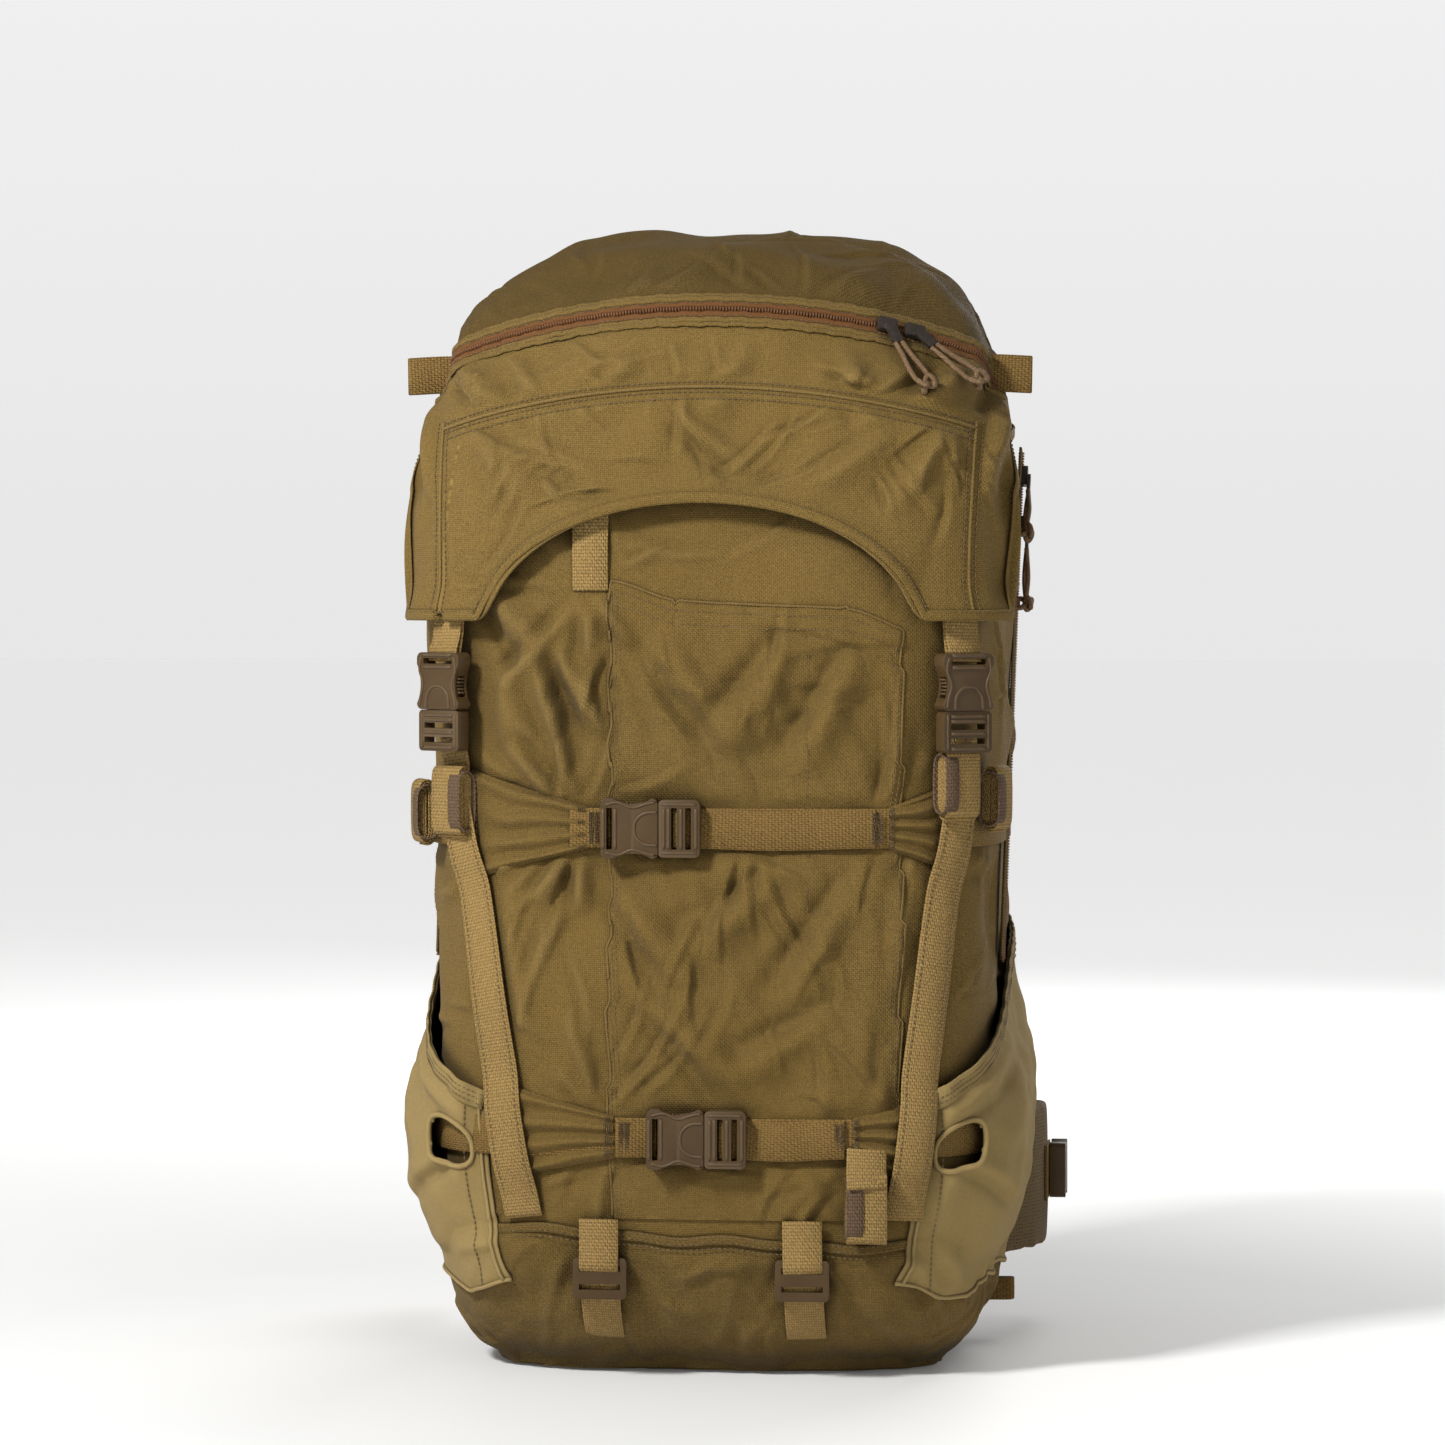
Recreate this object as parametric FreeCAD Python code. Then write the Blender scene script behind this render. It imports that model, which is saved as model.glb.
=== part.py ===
"""Top-loading hunting backpack on a carrying frame: a roll-mouth bag under a lift-off lid, with harness,
waist belt, compression straps, side zips and stretch pockets.

Millimetres, +Z up, the front of the pack faces -Y and the wearer's side is +Y. The origin is under the middle
of the pack, on the floor that it stands on.
"""

import FreeCAD
import Part

import math
import os

Vector = FreeCAD.Vector

# ---- driving dimensions ------------------------------------------------------------------------------------
BACK_Y = 75.0  # the bag's flat back, against the frame
RIM_Z = 600.0  # the bag's open mouth
CLOTH = 4.0  # packed thickness of lined pack cloth
BAG_POWER = 4.0  # how square the bag's plan is: 2 is an ellipse
POINTS_PER_SECTION = 28

# height, half width and depth of the loaded bag, and the heights at which its lofts are cut
BAG = [
    (6, 146, 230),
    (45, 168, 262),
    (120, 177, 284),
    (215, 179, 290),
    (280, 180, 284),
    (345, 181, 277),
    (430, 184.5, 283),
    (520, 188, 285),
    (560, 185, 280),
    (RIM_Z, 177, 266),
]
BAG_HEIGHTS = (6, 20, 45, 80, 120, 165, 215, 280, 345, 390, 430, 475, 520, 560, RIM_Z)
# height, half width, front y, back y and plan power of the lid's outside
LID = [
    (480, 195, -217, 81, 4.0),
    (520, 196, -217, 81, 4.0),
    (560, 193, -212, 80, 3.9),
    (600, 187, -203, 79, 3.6),
    (640, 179, -191, 78, 3.0),
    (665, 170, -180, 75, 2.6),
    (690, 154, -160, 66, 2.4),
    (710, 130, -132, 52, 2.3),
    (724, 98, -96, 30, 2.2),
    (730, 60, -58, 0, 2.2),
]
LID_HEIGHTS = (480, 500, 520, 545, 570, 600, 620, 640, 655, 670, 684, 697, 708, 717, 724, 728, 730)
# the room inside the lid, in the same terms
LID_POCKET = [
    (652, 160, -168, 62, 2.6),
    (672, 150, -158, 56, 2.5),
    (695, 134, -134, 44, 2.4),
    (712, 104, -96, 24, 2.3),
]
LID_BOTTOM_Z = 480.0
LID_FLOOR_Z = 648.0  # underside of the lid's zipped pocket
LID_SKIRT = 3.2
LID_ARCH = (134.0, 470.0, 84.0)  # half width, base and height of the arch under the lid's front
LID_TRAVEL = 190.0

POCKET_HALF = 112.0  # the front pocket panel
POCKET_Z = (118.0, 515.0)
# how far off the bag each layer of cloth and webbing starts and ends
LAYER = {
    "pocket": (0.3, 2.0),
    "wing": (2.15, 4.3),
    "strap": (2.3, 3.9),
    "upright": (4.4, 6.0),
    "lid_strap": (5.0, 6.6),
}

# stretch side pockets: height, half width and half depth; then where their mouth runs, as (y, z)
SIDE_POCKET = [
    (60, 171, 126),
    (84, 188, 138),
    (135, 200, 147),
    (200, 204, 149),
    (255, 201, 147),
    (310, 193, 143),
]
SIDE_POCKET_POWER = 3.2
SIDE_POCKET_FLOOR = 76.0
SIDE_POCKET_EDGE = 138.0  # distance of its front edge from the pack's middle
SIDE_POCKET_MOUTH = [(-230, 172), (-60, 268), (BACK_Y, 300)]

# the gathered collar: height, half width, depth and middle y
COLLAR = [
    (572, 169, 248, -62),
    (600, 165, 242, -55),
    (624, 150, 216, -48),
    (642, 139, 198, -41),
]
COLLAR_WALL = 2.5
DRAWCORD_Z = (630.0, 633.0)
LOCK_Y = -159.0  # the drawcord's cord lock

WEB = 25.0  # webbing width
WEB_THICK = 1.6
MID_Z = 350.0  # compression straps
LOW_Z = 156.0
CORNER_TURN = 38.0  # how far the straps on the front corners face outwards, in degrees

# side-release buckle, in its own frame: +X from the female half to the male half, +Z outwards
BUCKLE_HALF = 19.0
BUCKLE_STANDOFF = 1.3  # how far its back is off the webbing under it
FEMALE_LENGTH = 36.0
FEMALE_THICK = 11.0
MALE_LENGTH = 26.0
MALE_THICK = 9.0
JOINT_GAP = 0.3
PRONG_REACH = 22.0
MID_BUCKLE_X = -62.0  # the female half's web end
LOW_BUCKLE_X = -32.0

# the lid's zip runs on an arc that leans back
ZIP_RADIUS = 300.0
ZIP_FRONT = (0.0, -176.0, 677.0)
ZIP_LEAN = 32.0
ZIP_HALF_ANGLE = 32.0
ZIP_WIDTH = 15.0
# each slider's angle on the arc and the turn of its tab and pull
LID_SLIDERS = [(25.5, -38.0), (22.0, -62.0)]
LID_PULL_TIP = 10.0  # how far the lid's pulls stand up off their tabs, to clear the lid's shoulder
# each side zip is straight: its top and bottom ends as (y, z), in a plane that leans with the bag's side
SIDE_ZIP = ((4.0, 588.0), (-96.0, 262.0))
SIDE_LEAN = (183.2, 280.0, 5.0 / 240.0)
# slider, pull, side, height and turn of the tab
SIDE_SLIDERS = [
    ("right_zip_slider_upper", "right_zip_cord_upper", 1, 574.0, -27.0),
    ("right_zip_slider_lower", "right_zip_cord_lower", 1, 541.0, 4.0),
    ("left_zip_slider", "left_zip_cord", -1, 556.0, 4.0),
]
TAB_END = 15.4  # where a pull leaves its tab, from the slider's middle
TAB_HEIGHT = 6.1

CORD = 3.2
# the pull's loop, hand-laid: (along the pull, across it, out of it), from one side of the tab to the other
PULL_ROUTE = [
    (0.0, -2.4, 0.0),
    (9.5, -3.0, 0.9),
    (21.0, -5.4, 2.1),
    (35.0, -4.9, 0.8),
    (35.4, 4.9, 0.8),
    (22.0, 5.8, -1.2),
    (9.0, 3.2, -0.8),
    (0.0, 2.4, 0.0),
]
KNOT = 5.6
KNOT_AT = (36.5, 0.8)

# frame and harness
SHEET = (145.0, 68.0, 584.0, 3.0)  # half width, bottom, top, thickness
SHEET_Y = BACK_Y + 1.0
STAY_X = 95.0
STAY = (25.0, 3.0)
PAD_Y = SHEET_Y + SHEET[3] + STAY[1] + 0.6
PAD_THICK = 16.0
YOKE_Y = PAD_Y + PAD_THICK + 0.3
SHOULDER_X = 70.0
SHOULDER_HALF = 32.0
SHOULDER_THICK = 13.0
BELT_Z = (46.0, 146.0)
BELT_THICK = 15.0
BELT_HINGE = (108.0, 99.0)
STERNUM_Z = 440.0
HAUL_PIVOT = (106.1, 552.0)

parts = {}


# ---- helpers -----------------------------------------------------------------------------------------------
def box(x0, x1, y0, y1, z0, z1):
    return Part.makeBox(x1 - x0, y1 - y0, z1 - z0, Vector(x0, y0, z0))


def mirrored(shape):
    return shape.mirror(Vector(0, 0, 0), Vector(1, 0, 0))


def together(*shapes):
    return Part.makeCompound([s for shape in shapes for s in shape.Solids])


def closed_outline(points):
    curve = Part.BSplineCurve()
    curve.interpolate(Points=points, PeriodicFlag=True)
    return Part.Wire([curve.toShape()])


def superellipse(z, half_x, half_y, middle_y, power):
    points = []
    for i in range(POINTS_PER_SECTION):
        t = 2 * math.pi * i / POINTS_PER_SECTION
        c, s = math.cos(t), math.sin(t)
        r = (abs(c) ** power + abs(s) ** power) ** (-1 / power)
        points.append(Vector(half_x * r * c, middle_y + half_y * r * s, z))
    return closed_outline(points)


def loft(wires):
    return Part.makeLoft(wires, True, False)


def dense(rows, heights):
    """A section table read at other heights, smoothly and without overshoot."""
    z = [row[0] for row in rows]

    def slope(values, i):
        steps = [(values[k + 1] - values[k]) / (z[k + 1] - z[k]) for k in (i - 1, i) if 0 <= k < len(z) - 1]
        if len(steps) == 1:
            return steps[0]
        return 2 * steps[0] * steps[1] / (steps[0] + steps[1]) if steps[0] * steps[1] > 0 else 0

    found = []
    for height in heights:
        i = max(k for k in range(len(z) - 1) if z[k] <= height)
        span = z[i + 1] - z[i]
        t = (height - z[i]) / span
        row = [height]
        for values in list(zip(*rows))[1:]:
            v0, v1 = values[i], values[i + 1]
            m0, m1 = slope(values, i) * span, slope(values, i + 1) * span
            a = 2 * t**3 - 3 * t**2 + 1
            row.append(a * v0 + (1 - a) * v1 + (t**3 - 2 * t**2 + t) * m0 + (t**3 - t**2) * m1)
        found.append(tuple(row))
    return found


BAG_ROWS = dense(BAG, BAG_HEIGHTS)
LID_ROWS = dense(LID, LID_HEIGHTS)


def bag_solid(offset=0.0, low=None):
    """The bag's outside, grown by offset. low moves its underside."""
    rows = [list(row) for row in BAG_ROWS]
    if low is not None:
        rows[0][0] = low
    wires = [
        superellipse(z, a + offset, d / 2 + offset, BACK_Y - d / 2, BAG_POWER)
        for z, a, d in rows
    ]
    return loft(wires)


def lid_solid(offset=0.0, rows=LID_ROWS):
    wires = [
        superellipse(z, a + offset, (back - front) / 2 + offset, (front + back) / 2, power)
        for z, a, front, back, power in rows
    ]
    return loft(wires)


skins = {}


def layer(name):
    """The thin skin in which a panel or strap lies on the bag."""
    if name not in skins:
        inner, outer = LAYER[name]
        skins[name] = bag_solid(outer).cut(bag_solid(inner))
    return skins[name]


def corner(z, turn, offset=0.0):
    """The point of the bag's right front corner whose face is turned that far from straight ahead."""
    _, a, depth = dense(BAG, [z])[0]
    b = depth / 2
    k = BAG_POWER - 1
    ratio = (math.tan(math.radians(turn)) * a**BAG_POWER / b**BAG_POWER) ** (1 / k)
    y = ((ratio / a) ** BAG_POWER + b**-BAG_POWER) ** (-1 / BAG_POWER)
    out = Vector(math.sin(math.radians(turn)), -math.cos(math.radians(turn)), 0)
    return Vector(ratio * y, BACK_Y - b - y, z) + out * offset


def prism(outline, axis, length):
    """A flat outline of points pushed along an axis."""
    wire = Part.makePolygon([*outline, outline[0]])
    return Part.Face(wire).extrude(axis * length)


def ribbon(path, thick, x0, x1):
    """A strap or pad whose side view follows a path of (y, z), with thick to the left of its travel."""
    left, right = [], []
    for i, (y, z) in enumerate(path):
        ahead, behind = path[min(i + 1, len(path) - 1)], path[max(i - 1, 0)]
        d = math.hypot(ahead[0] - behind[0], ahead[1] - behind[1])
        ny, nz = -(ahead[1] - behind[1]) / d, (ahead[0] - behind[0]) / d
        left.append(Vector(x0, y + ny * thick, z + nz * thick))
        right.append(Vector(x0, y, z))
    return prism(left + right[::-1], Vector(1, 0, 0), x1 - x0)


def frame_of(origin, x_axis, z_axis):
    """The placement of a kit whose own X and Z axes are to lie along those directions."""
    x, z = Vector(x_axis).normalize(), Vector(z_axis).normalize()
    y = z.cross(x)
    return FreeCAD.Placement(
        FreeCAD.Matrix(
            x.x, y.x, z.x, origin.x, x.y, y.y, z.y, origin.y, x.z, y.z, z.z, origin.z, 0, 0, 0, 1
        )
    )


def placed(shape, placement):
    moved = shape.copy()
    moved.transformShape(placement.toMatrix(), True)
    return moved


def rounded_plate(x0, x1, half_y, thick, radius):
    plate = box(x0, x1, -half_y, half_y, -thick / 2, thick / 2)
    upright = [e for e in plate.Edges if abs(e.Vertexes[0].Z - e.Vertexes[1].Z) > 0.9 * thick]
    return plate.makeFillet(radius, upright)


# ---- moulded hardware --------------------------------------------------------------------------------------
def buckle_female():
    shell = rounded_plate(0, FEMALE_LENGTH, BUCKLE_HALF, FEMALE_THICK, 4)
    for side in (-1, 1):
        waist = Part.makeCylinder(24, 40, Vector(20, side * (BUCKLE_HALF + 20.5), -20))
        shell = shell.cut(waist)
    socket = box(11, FEMALE_LENGTH + 1, -13.2, 13.2, -3.4, 3.4)
    windows = box(15, 28, -30, 30, -3.4, 3.4)
    web_slot = box(3.6, 7.2, -13, 13, -20, 20)
    return shell.cut(socket).cut(windows).cut(web_slot)


def buckle_male():
    start = FEMALE_LENGTH + JOINT_GAP
    base = rounded_plate(start, start + MALE_LENGTH, BUCKLE_HALF - 1, MALE_THICK, 3)
    for at in (8, 17):
        base = base.cut(box(start + at, start + at + 3.6, -13, 13, -20, 20))
    tip = start - PRONG_REACH
    guide = box(tip + 4, start + 1, -3.5, 3.5, -2, 2)
    prongs = [box(tip, start + 1, *sorted((s * 8.6, s * 12.4)), -2.6, 2.6) for s in (-1, 1)]
    return base.fuse([guide, *prongs]).removeSplitter()


def ladder_lock():
    """A two-bar webbing adjuster, centred, with its web along X."""
    plate = rounded_plate(-13, 13, 17, 6, 3)
    for at in (-8, 3.5):
        plate = plate.cut(box(at, at + 3.6, -13, 13, -10, 10))
    return plate


def zip_slider(tab_turn):
    """A zip slider on its tape: X along the zip, Z outwards, its tab turned by tab_turn degrees from X."""
    body = rounded_plate(-6.5, 6.5, 4.6, 4, 2)
    body.translate(Vector(0, 0, 3.2))
    tab = rounded_plate(0, 15, 3.6, 2.2, 2)
    tab.rotate(Vector(0, 0, 0), Vector(0, 0, 1), tab_turn)
    tab.translate(Vector(0, 0, TAB_HEIGHT))
    return body.fuse(tab).removeSplitter()


def cord_tube(points, diameter):
    """A round tube along straight runs joined by tangent arcs, as wide as the runs allow."""
    edges, start = [], points[0]
    for before, at, after in zip(points, points[1:], points[2:]):
        a, b = (before - at).normalize(), (after - at).normalize()
        half = math.acos(max(-1, min(1, a.dot(b)))) / 2
        reach = 0.45 * min(before.distanceToPoint(at), after.distanceToPoint(at))
        first, last = at + a * reach, at + b * reach
        bisector = (a + b).normalize()
        centre = at + bisector * (reach / math.cos(half))
        middle = centre - bisector * (reach * math.tan(half))
        edges.append(Part.LineSegment(start, first).toShape())
        edges.append(Part.Arc(first, middle, last).toShape())
        start = last
    edges.append(Part.LineSegment(start, points[-1]).toShape())
    path = Part.Wire(edges)
    ring = Part.Wire([Part.makeCircle(diameter / 2, points[0], points[1] - points[0])])
    return path.makePipeShell([ring], True, False)


def pull_cord(name, placement, tab_turn, tip=0.0):
    """The looped cord in a slider's tab, with its knot. tip is how far it stands up, in degrees."""
    turn, rise = math.radians(tab_turn), math.radians(tip)
    ahead, out = Vector(math.cos(turn), math.sin(turn), 0), Vector(0, 0, 1)
    across = out.cross(ahead)
    root = ahead * TAB_END + out * TAB_HEIGHT
    along, away = ahead * math.cos(rise) + out * math.sin(rise), out * math.cos(rise) - ahead * math.sin(rise)
    route = [root + along * a + across * c + away * o for a, c, o in PULL_ROUTE]
    tube = cord_tube([placement.multVec(p) for p in route], CORD)
    knot_along, knot_out = KNOT_AT
    knot = Part.makeSphere(KNOT, placement.multVec(root + along * knot_along + away * knot_out))
    parts[name] = together(tube, knot.cut(tube))


# ---- the bag -----------------------------------------------------------------------------------------------
def make_bag():
    outside = bag_solid()
    hollow = bag_solid(-CLOTH).common(box(-300, 300, -300, 300, 12, 700))
    parts["bag_shell"] = outside.cut(hollow)
    cup = bag_solid(CLOTH, low=0).common(box(-300, 300, -300, BACK_Y + 0.8, -1, 60))
    parts["base_panel"] = cup.cut(outside)
    x, (z0, z1) = POCKET_HALF, POCKET_Z
    parts["front_pocket"] = layer("pocket").common(box(-x, x, -300, -100, z0, z1))


def make_side_pockets():
    """Stretch pockets that stand off the bag's lower sides, with a mouth that slopes down to the front."""
    wall, low_z = 3.0, 66.0

    def bulge(offset):
        return loft(
            [
                superellipse(z, a + offset, b + offset, BACK_Y - wall - b, SIDE_POCKET_POWER)
                for z, a, b in SIDE_POCKET
            ]
        )

    skin = bulge(0).cut(bulge(-wall).common(box(-300, 300, -300, 300, SIDE_POCKET_FLOOR, 400)))
    skin = skin.cut(bag_solid(0.4))
    (front_y, _), (back_y, _) = SIDE_POCKET_MOUTH[0], SIDE_POCKET_MOUTH[-1]
    side_view = [*SIDE_POCKET_MOUTH, (back_y, low_z), (front_y, low_z)]
    outline = [Vector(SIDE_POCKET_EDGE, y, z) for y, z in side_view]
    right = skin.common(prism(outline, Vector(1, 0, 0), 200))
    parts["right_stretch_pocket"] = right
    parts["left_stretch_pocket"] = mirrored(right)


def make_collar():
    """The open collar above the bag's rim, its drawcord and the spring lock on it."""

    def tube(offset, extra=0.0):
        """The collar's surface, grown by offset and drawn out at both ends by extra."""
        low, high = COLLAR[0][0], COLLAR[-1][0]
        wires = [
            superellipse(z + extra * ((z == high) - (z == low)), a + offset, d / 2 + offset, y, BAG_POWER)
            for z, a, d, y in COLLAR
        ]
        return loft(wires)

    outside = tube(0)
    parts["collar"] = outside.cut(tube(-COLLAR_WALL, 1))
    cord = tube(3.2).cut(tube(0.2, 1)).common(box(-300, 300, -300, 300, *DRAWCORD_Z))
    barrel_radius, bore_radius, button_radius = 8.0, 5.3, 5.0
    barrel = Part.makeCylinder(barrel_radius, 17, Vector(0, LOCK_Y, 621))
    barrel = barrel.cut(Part.makeCylinder(bore_radius, 12, Vector(0, LOCK_Y, 626.5)))
    parts["collar_drawcord"] = cord.cut(Part.makeCylinder(barrel_radius + 0.2, 30, Vector(0, LOCK_Y, 615)))
    parts["cord_lock_barrel"] = barrel.cut(outside)
    parts["cord_lock_button"] = Part.makeCylinder(button_radius, 11, Vector(0, LOCK_Y, 631.5))


# ---- the lid -----------------------------------------------------------------------------------------------
def zip_frame(angle):
    """A frame on the lid zip's arc: X along the zip, Z outwards."""
    lean = math.radians(ZIP_LEAN)
    inward = Vector(0, math.cos(lean), -math.sin(lean))
    centre = Vector(*ZIP_FRONT) + inward * ZIP_RADIUS
    t = math.radians(angle)
    out = inward * -math.cos(t) + Vector(1, 0, 0) * math.sin(t)
    along = Vector(1, 0, 0) * math.cos(t) + inward * math.sin(t)
    return centre, frame_of(centre + out * ZIP_RADIUS, along, out)


def zip_ring(inner, outer, half_height):
    """A sector of a flat ring about the lid zip's centre."""
    lean = math.radians(ZIP_LEAN)
    axis = Vector(0, math.sin(lean), math.cos(lean))
    centre, _ = zip_frame(0)
    low = centre - axis * half_height
    ring = Part.makeCylinder(outer, 2 * half_height, low, axis).cut(
        Part.makeCylinder(inner, 2 * half_height, low, axis)
    )
    reach = (ZIP_RADIUS + 40) * math.tan(math.radians(ZIP_HALF_ANGLE))
    inward = Vector(0, math.cos(lean), -math.sin(lean))
    outward = centre - inward * (ZIP_RADIUS + 40)
    wedge = [centre, outward + Vector(reach, 0, 0), outward - Vector(reach, 0, 0)]
    wedge = prism([p - axis * 30 for p in wedge], axis, 60)
    return ring.common(wedge)


def make_lid():
    """The domed lid with its skirt, the hollow of its own pocket, the zip that opens it and its side tabs."""
    outside = lid_solid()
    low = [row for row in LID_ROWS if row[0] < 700]
    under = lid_solid(-LID_SKIRT, low).common(box(-300, 300, -300, 300, 470, LID_FLOOR_Z))
    shell = outside.cut(under)
    half, base, height = LID_ARCH
    arch = Part.Ellipse(Vector(0, -320, base), half, height)
    arch = Part.Face(Part.Wire([arch.toShape()]))
    arch.rotate(Vector(0, -320, base), Vector(1, 0, 0), 90)
    arch = arch.extrude(Vector(0, 220, 0))
    side = [(-158, 470), (90, 470), (90, 606), (40, 606), (-118, 592), (-138, 560)]
    side = [Vector(-300, y, z) for y, z in side]
    shell = shell.cut(arch).cut(prism(side, Vector(1, 0, 0), 600))
    shell = shell.cut(lid_solid(0, LID_POCKET))
    shell = shell.cut(zip_ring(ZIP_RADIUS - 4, ZIP_RADIUS + 20, ZIP_WIDTH / 2 + 0.3))
    parts["lid_shell"] = shell
    parts["lid_zip"] = zip_ring(ZIP_RADIUS - 3.6, ZIP_RADIUS + 0.8, ZIP_WIDTH / 2)
    tab = box(160, 203, -104, -102, 626, 651).fuse(box(160, 203, -100.5, -98.5, 626, 651))
    tab = tab.fuse(box(201, 203, -103, -99, 626, 651)).removeSplitter()
    tab = tab.cut(outside)
    parts["lid_tabs"] = together(tab, mirrored(tab))


def corner_frame(z, offset):
    """A frame on the right front corner for a kit whose own X axis runs down the pack."""
    turn = math.radians(CORNER_TURN)
    out = Vector(math.sin(turn), -math.cos(turn), 0)
    at = corner(440, CORNER_TURN, offset)
    return frame_of(Vector(at.x, at.y, z), Vector(0, 0, -1), out)


def make_lid_straps():
    """The lid's front straps: a short web and female half on the lid, and the male half on the bag."""
    mouth_z = 460.0
    at = corner(440, CORNER_TURN)
    reach = WEB / 2 * math.cos(math.radians(CORNER_TURN))
    web = layer("lid_strap").common(
        box(at.x - reach, at.x + reach, -300, -100, mouth_z - 7, LID_BOTTOM_Z - 2.4)
    )
    where = corner_frame(mouth_z, LAYER["lid_strap"][1] + 1.8 + FEMALE_THICK / 2)
    female, male = placed(buckle_female(), where), placed(buckle_male(), where)
    parts["lid_straps"] = together(web, mirrored(web))
    parts["lid_buckle_females"] = together(female, mirrored(female))
    parts["lid_buckle_males"] = together(male, mirrored(male))


def make_lid_sliders():
    for i, (angle, tab_turn) in enumerate(LID_SLIDERS, 1):
        _, where = zip_frame(angle)
        parts[f"lid_zip_slider_{i}"] = placed(zip_slider(tab_turn), where)
        pull_cord(f"lid_zip_cord_{i}", where, tab_turn, LID_PULL_TIP)


# ---- side zips ---------------------------------------------------------------------------------------------
def make_side_zips():
    """A straight zip down each side, on a raised tape, with the sliders that run on it."""
    (y0, z0), (y1, z1) = SIDE_ZIP
    x_at, z_at, lean = SIDE_LEAN
    down = Vector((z1 - z0) * lean, y1 - y0, z1 - z0).normalize()
    out = Vector(-down.z, 0, down.x).normalize()

    def spot(z):
        return Vector(x_at + (z - z_at) * lean, y0 + (y1 - y0) * (z - z0) / (z1 - z0), z)

    where = frame_of(spot(z0), down, out)
    length = spot(z0).distanceToPoint(spot(z1))
    tape = placed(box(0, length, -ZIP_WIDTH / 2, ZIP_WIDTH / 2, -16, 0.8), where).cut(bag_solid(0.4))
    tape = tape.common(box(0, 300, -300, 300, 0, RIM_Z))
    parts["side_zips"] = together(tape, mirrored(tape))
    for slider, cord, side, z, turn in SIDE_SLIDERS:
        at, run, away = (Vector(side * v.x, v.y, v.z) for v in (spot(z), down, out))
        where = frame_of(at, run, away)
        parts[slider] = placed(zip_slider(turn), where)
        pull_cord(cord, where, turn)


# ---- compression straps ------------------------------------------------------------------------------------
def flat_frame(x, z, offset):
    """A frame on the front of the pack for a kit whose own X axis runs to the right."""
    y = BACK_Y - dense(BAG, [z])[0][2] - offset
    return frame_of(Vector(x, y, z), Vector(1, 0, 0), Vector(0, -1, 0))


def wing(outline):
    """Folded cloth that gathers a strap's pull: an outline of (x, z) laid on the bag."""
    return layer("wing").common(prism([Vector(x, -300, z) for x, z in outline], Vector(0, 1, 0), 240))


def make_compression_straps():
    """Two horizontal straps, each in two parts that meet at a side-release buckle."""
    h = WEB / 2 + 1
    m, w = MID_Z, LOW_Z
    wings = [
        wing([(-158, m - 34), (-158, m + 34), (-72, m + h), (-72, m - h)]),
        wing([(119, m - h - 3), (119, m + h + 3), (150, m + h + 14), (150, m - h - 12)]),
        wing([(-132, w - 32), (-132, w + 38), (-56, w + h), (-56, w - h)]),
        wing([(96, w - h), (96, w + h), (136, w + h + 12), (136, w - h - 22)]),
    ]
    parts["strap_wings"] = together(*wings)
    everywhere = layer("strap")
    taken = together(parts["left_stretch_pocket"], parts["right_stretch_pocket"], parts["side_zips"], *wings)
    for name, z, x, reach in (("mid", MID_Z, MID_BUCKLE_X, 50), ("lower", LOW_Z, LOW_BUCKLE_X, -90)):
        whole = everywhere.common(box(-300, 300, -300, reach, z - WEB / 2, z + WEB / 2))
        gap = box(x + 5, x + FEMALE_LENGTH + 14, -300, -100, z - 30, z + 30)
        parts[f"{name}_strap"] = whole.cut(gap).cut(taken)
        where = flat_frame(x, z, LAYER["strap"][1] + BUCKLE_STANDOFF + FEMALE_THICK / 2)
        parts[f"{name}_buckle_female"] = placed(buckle_female(), where)
        parts[f"{name}_buckle_male"] = placed(buckle_male(), where)


def make_uprights():
    """The webbing that runs from each lid buckle down the front corner to the base."""
    skin = layer("upright")
    top, bottom = 412.0, 104.0
    straps = []
    for top_x, bottom_x in ((-160, -112), (161, 126)):
        half = 10.0
        outline = [
            Vector(top_x - half, -300, top),
            Vector(top_x + half, -300, top),
            Vector(bottom_x + half, -300, bottom),
            Vector(bottom_x - half, -300, bottom),
        ]
        straps.append(skin.common(prism(outline, Vector(0, 1, 0), 220)))
    taken = [parts[n] for n in parts if "pocket" in n or "lid_buckle_males" in n or "strap_wings" in n]
    parts["upright_straps"] = together(*straps).cut(together(*taken))


def make_strap_rolls():
    """Spare webbing, wound up and held by elastic: two on the uprights and two on the mid strap's sides."""
    rolls = []
    for side, z, turn, width, tall in (
        (1, 378, CORNER_TURN, 25, 34),
        (-1, 366, CORNER_TURN, 25, 34),
        (1, 368, 80, 17, 30),
        (-1, 358, 80, 17, 30),
    ):
        at = corner(z, turn, LAYER["upright"][1] + 0.3)
        out = Vector(math.sin(math.radians(turn)), -math.cos(math.radians(turn)), 0)
        roll = rounded_plate(-tall / 2, tall / 2, width / 2, 13, 3)
        roll = placed(roll, frame_of(at + out * 7.5, Vector(0, 0, -1), out))
        rolls.append(roll if side > 0 else mirrored(roll))
    names = ("upright_straps", "mid_strap", "side_zips", "strap_wings")
    taken = together(*[parts[n] for n in parts if n in names or "lid_buckle" in n])
    parts["strap_rolls"] = together(*[roll.cut(taken) for roll in rolls])


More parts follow.
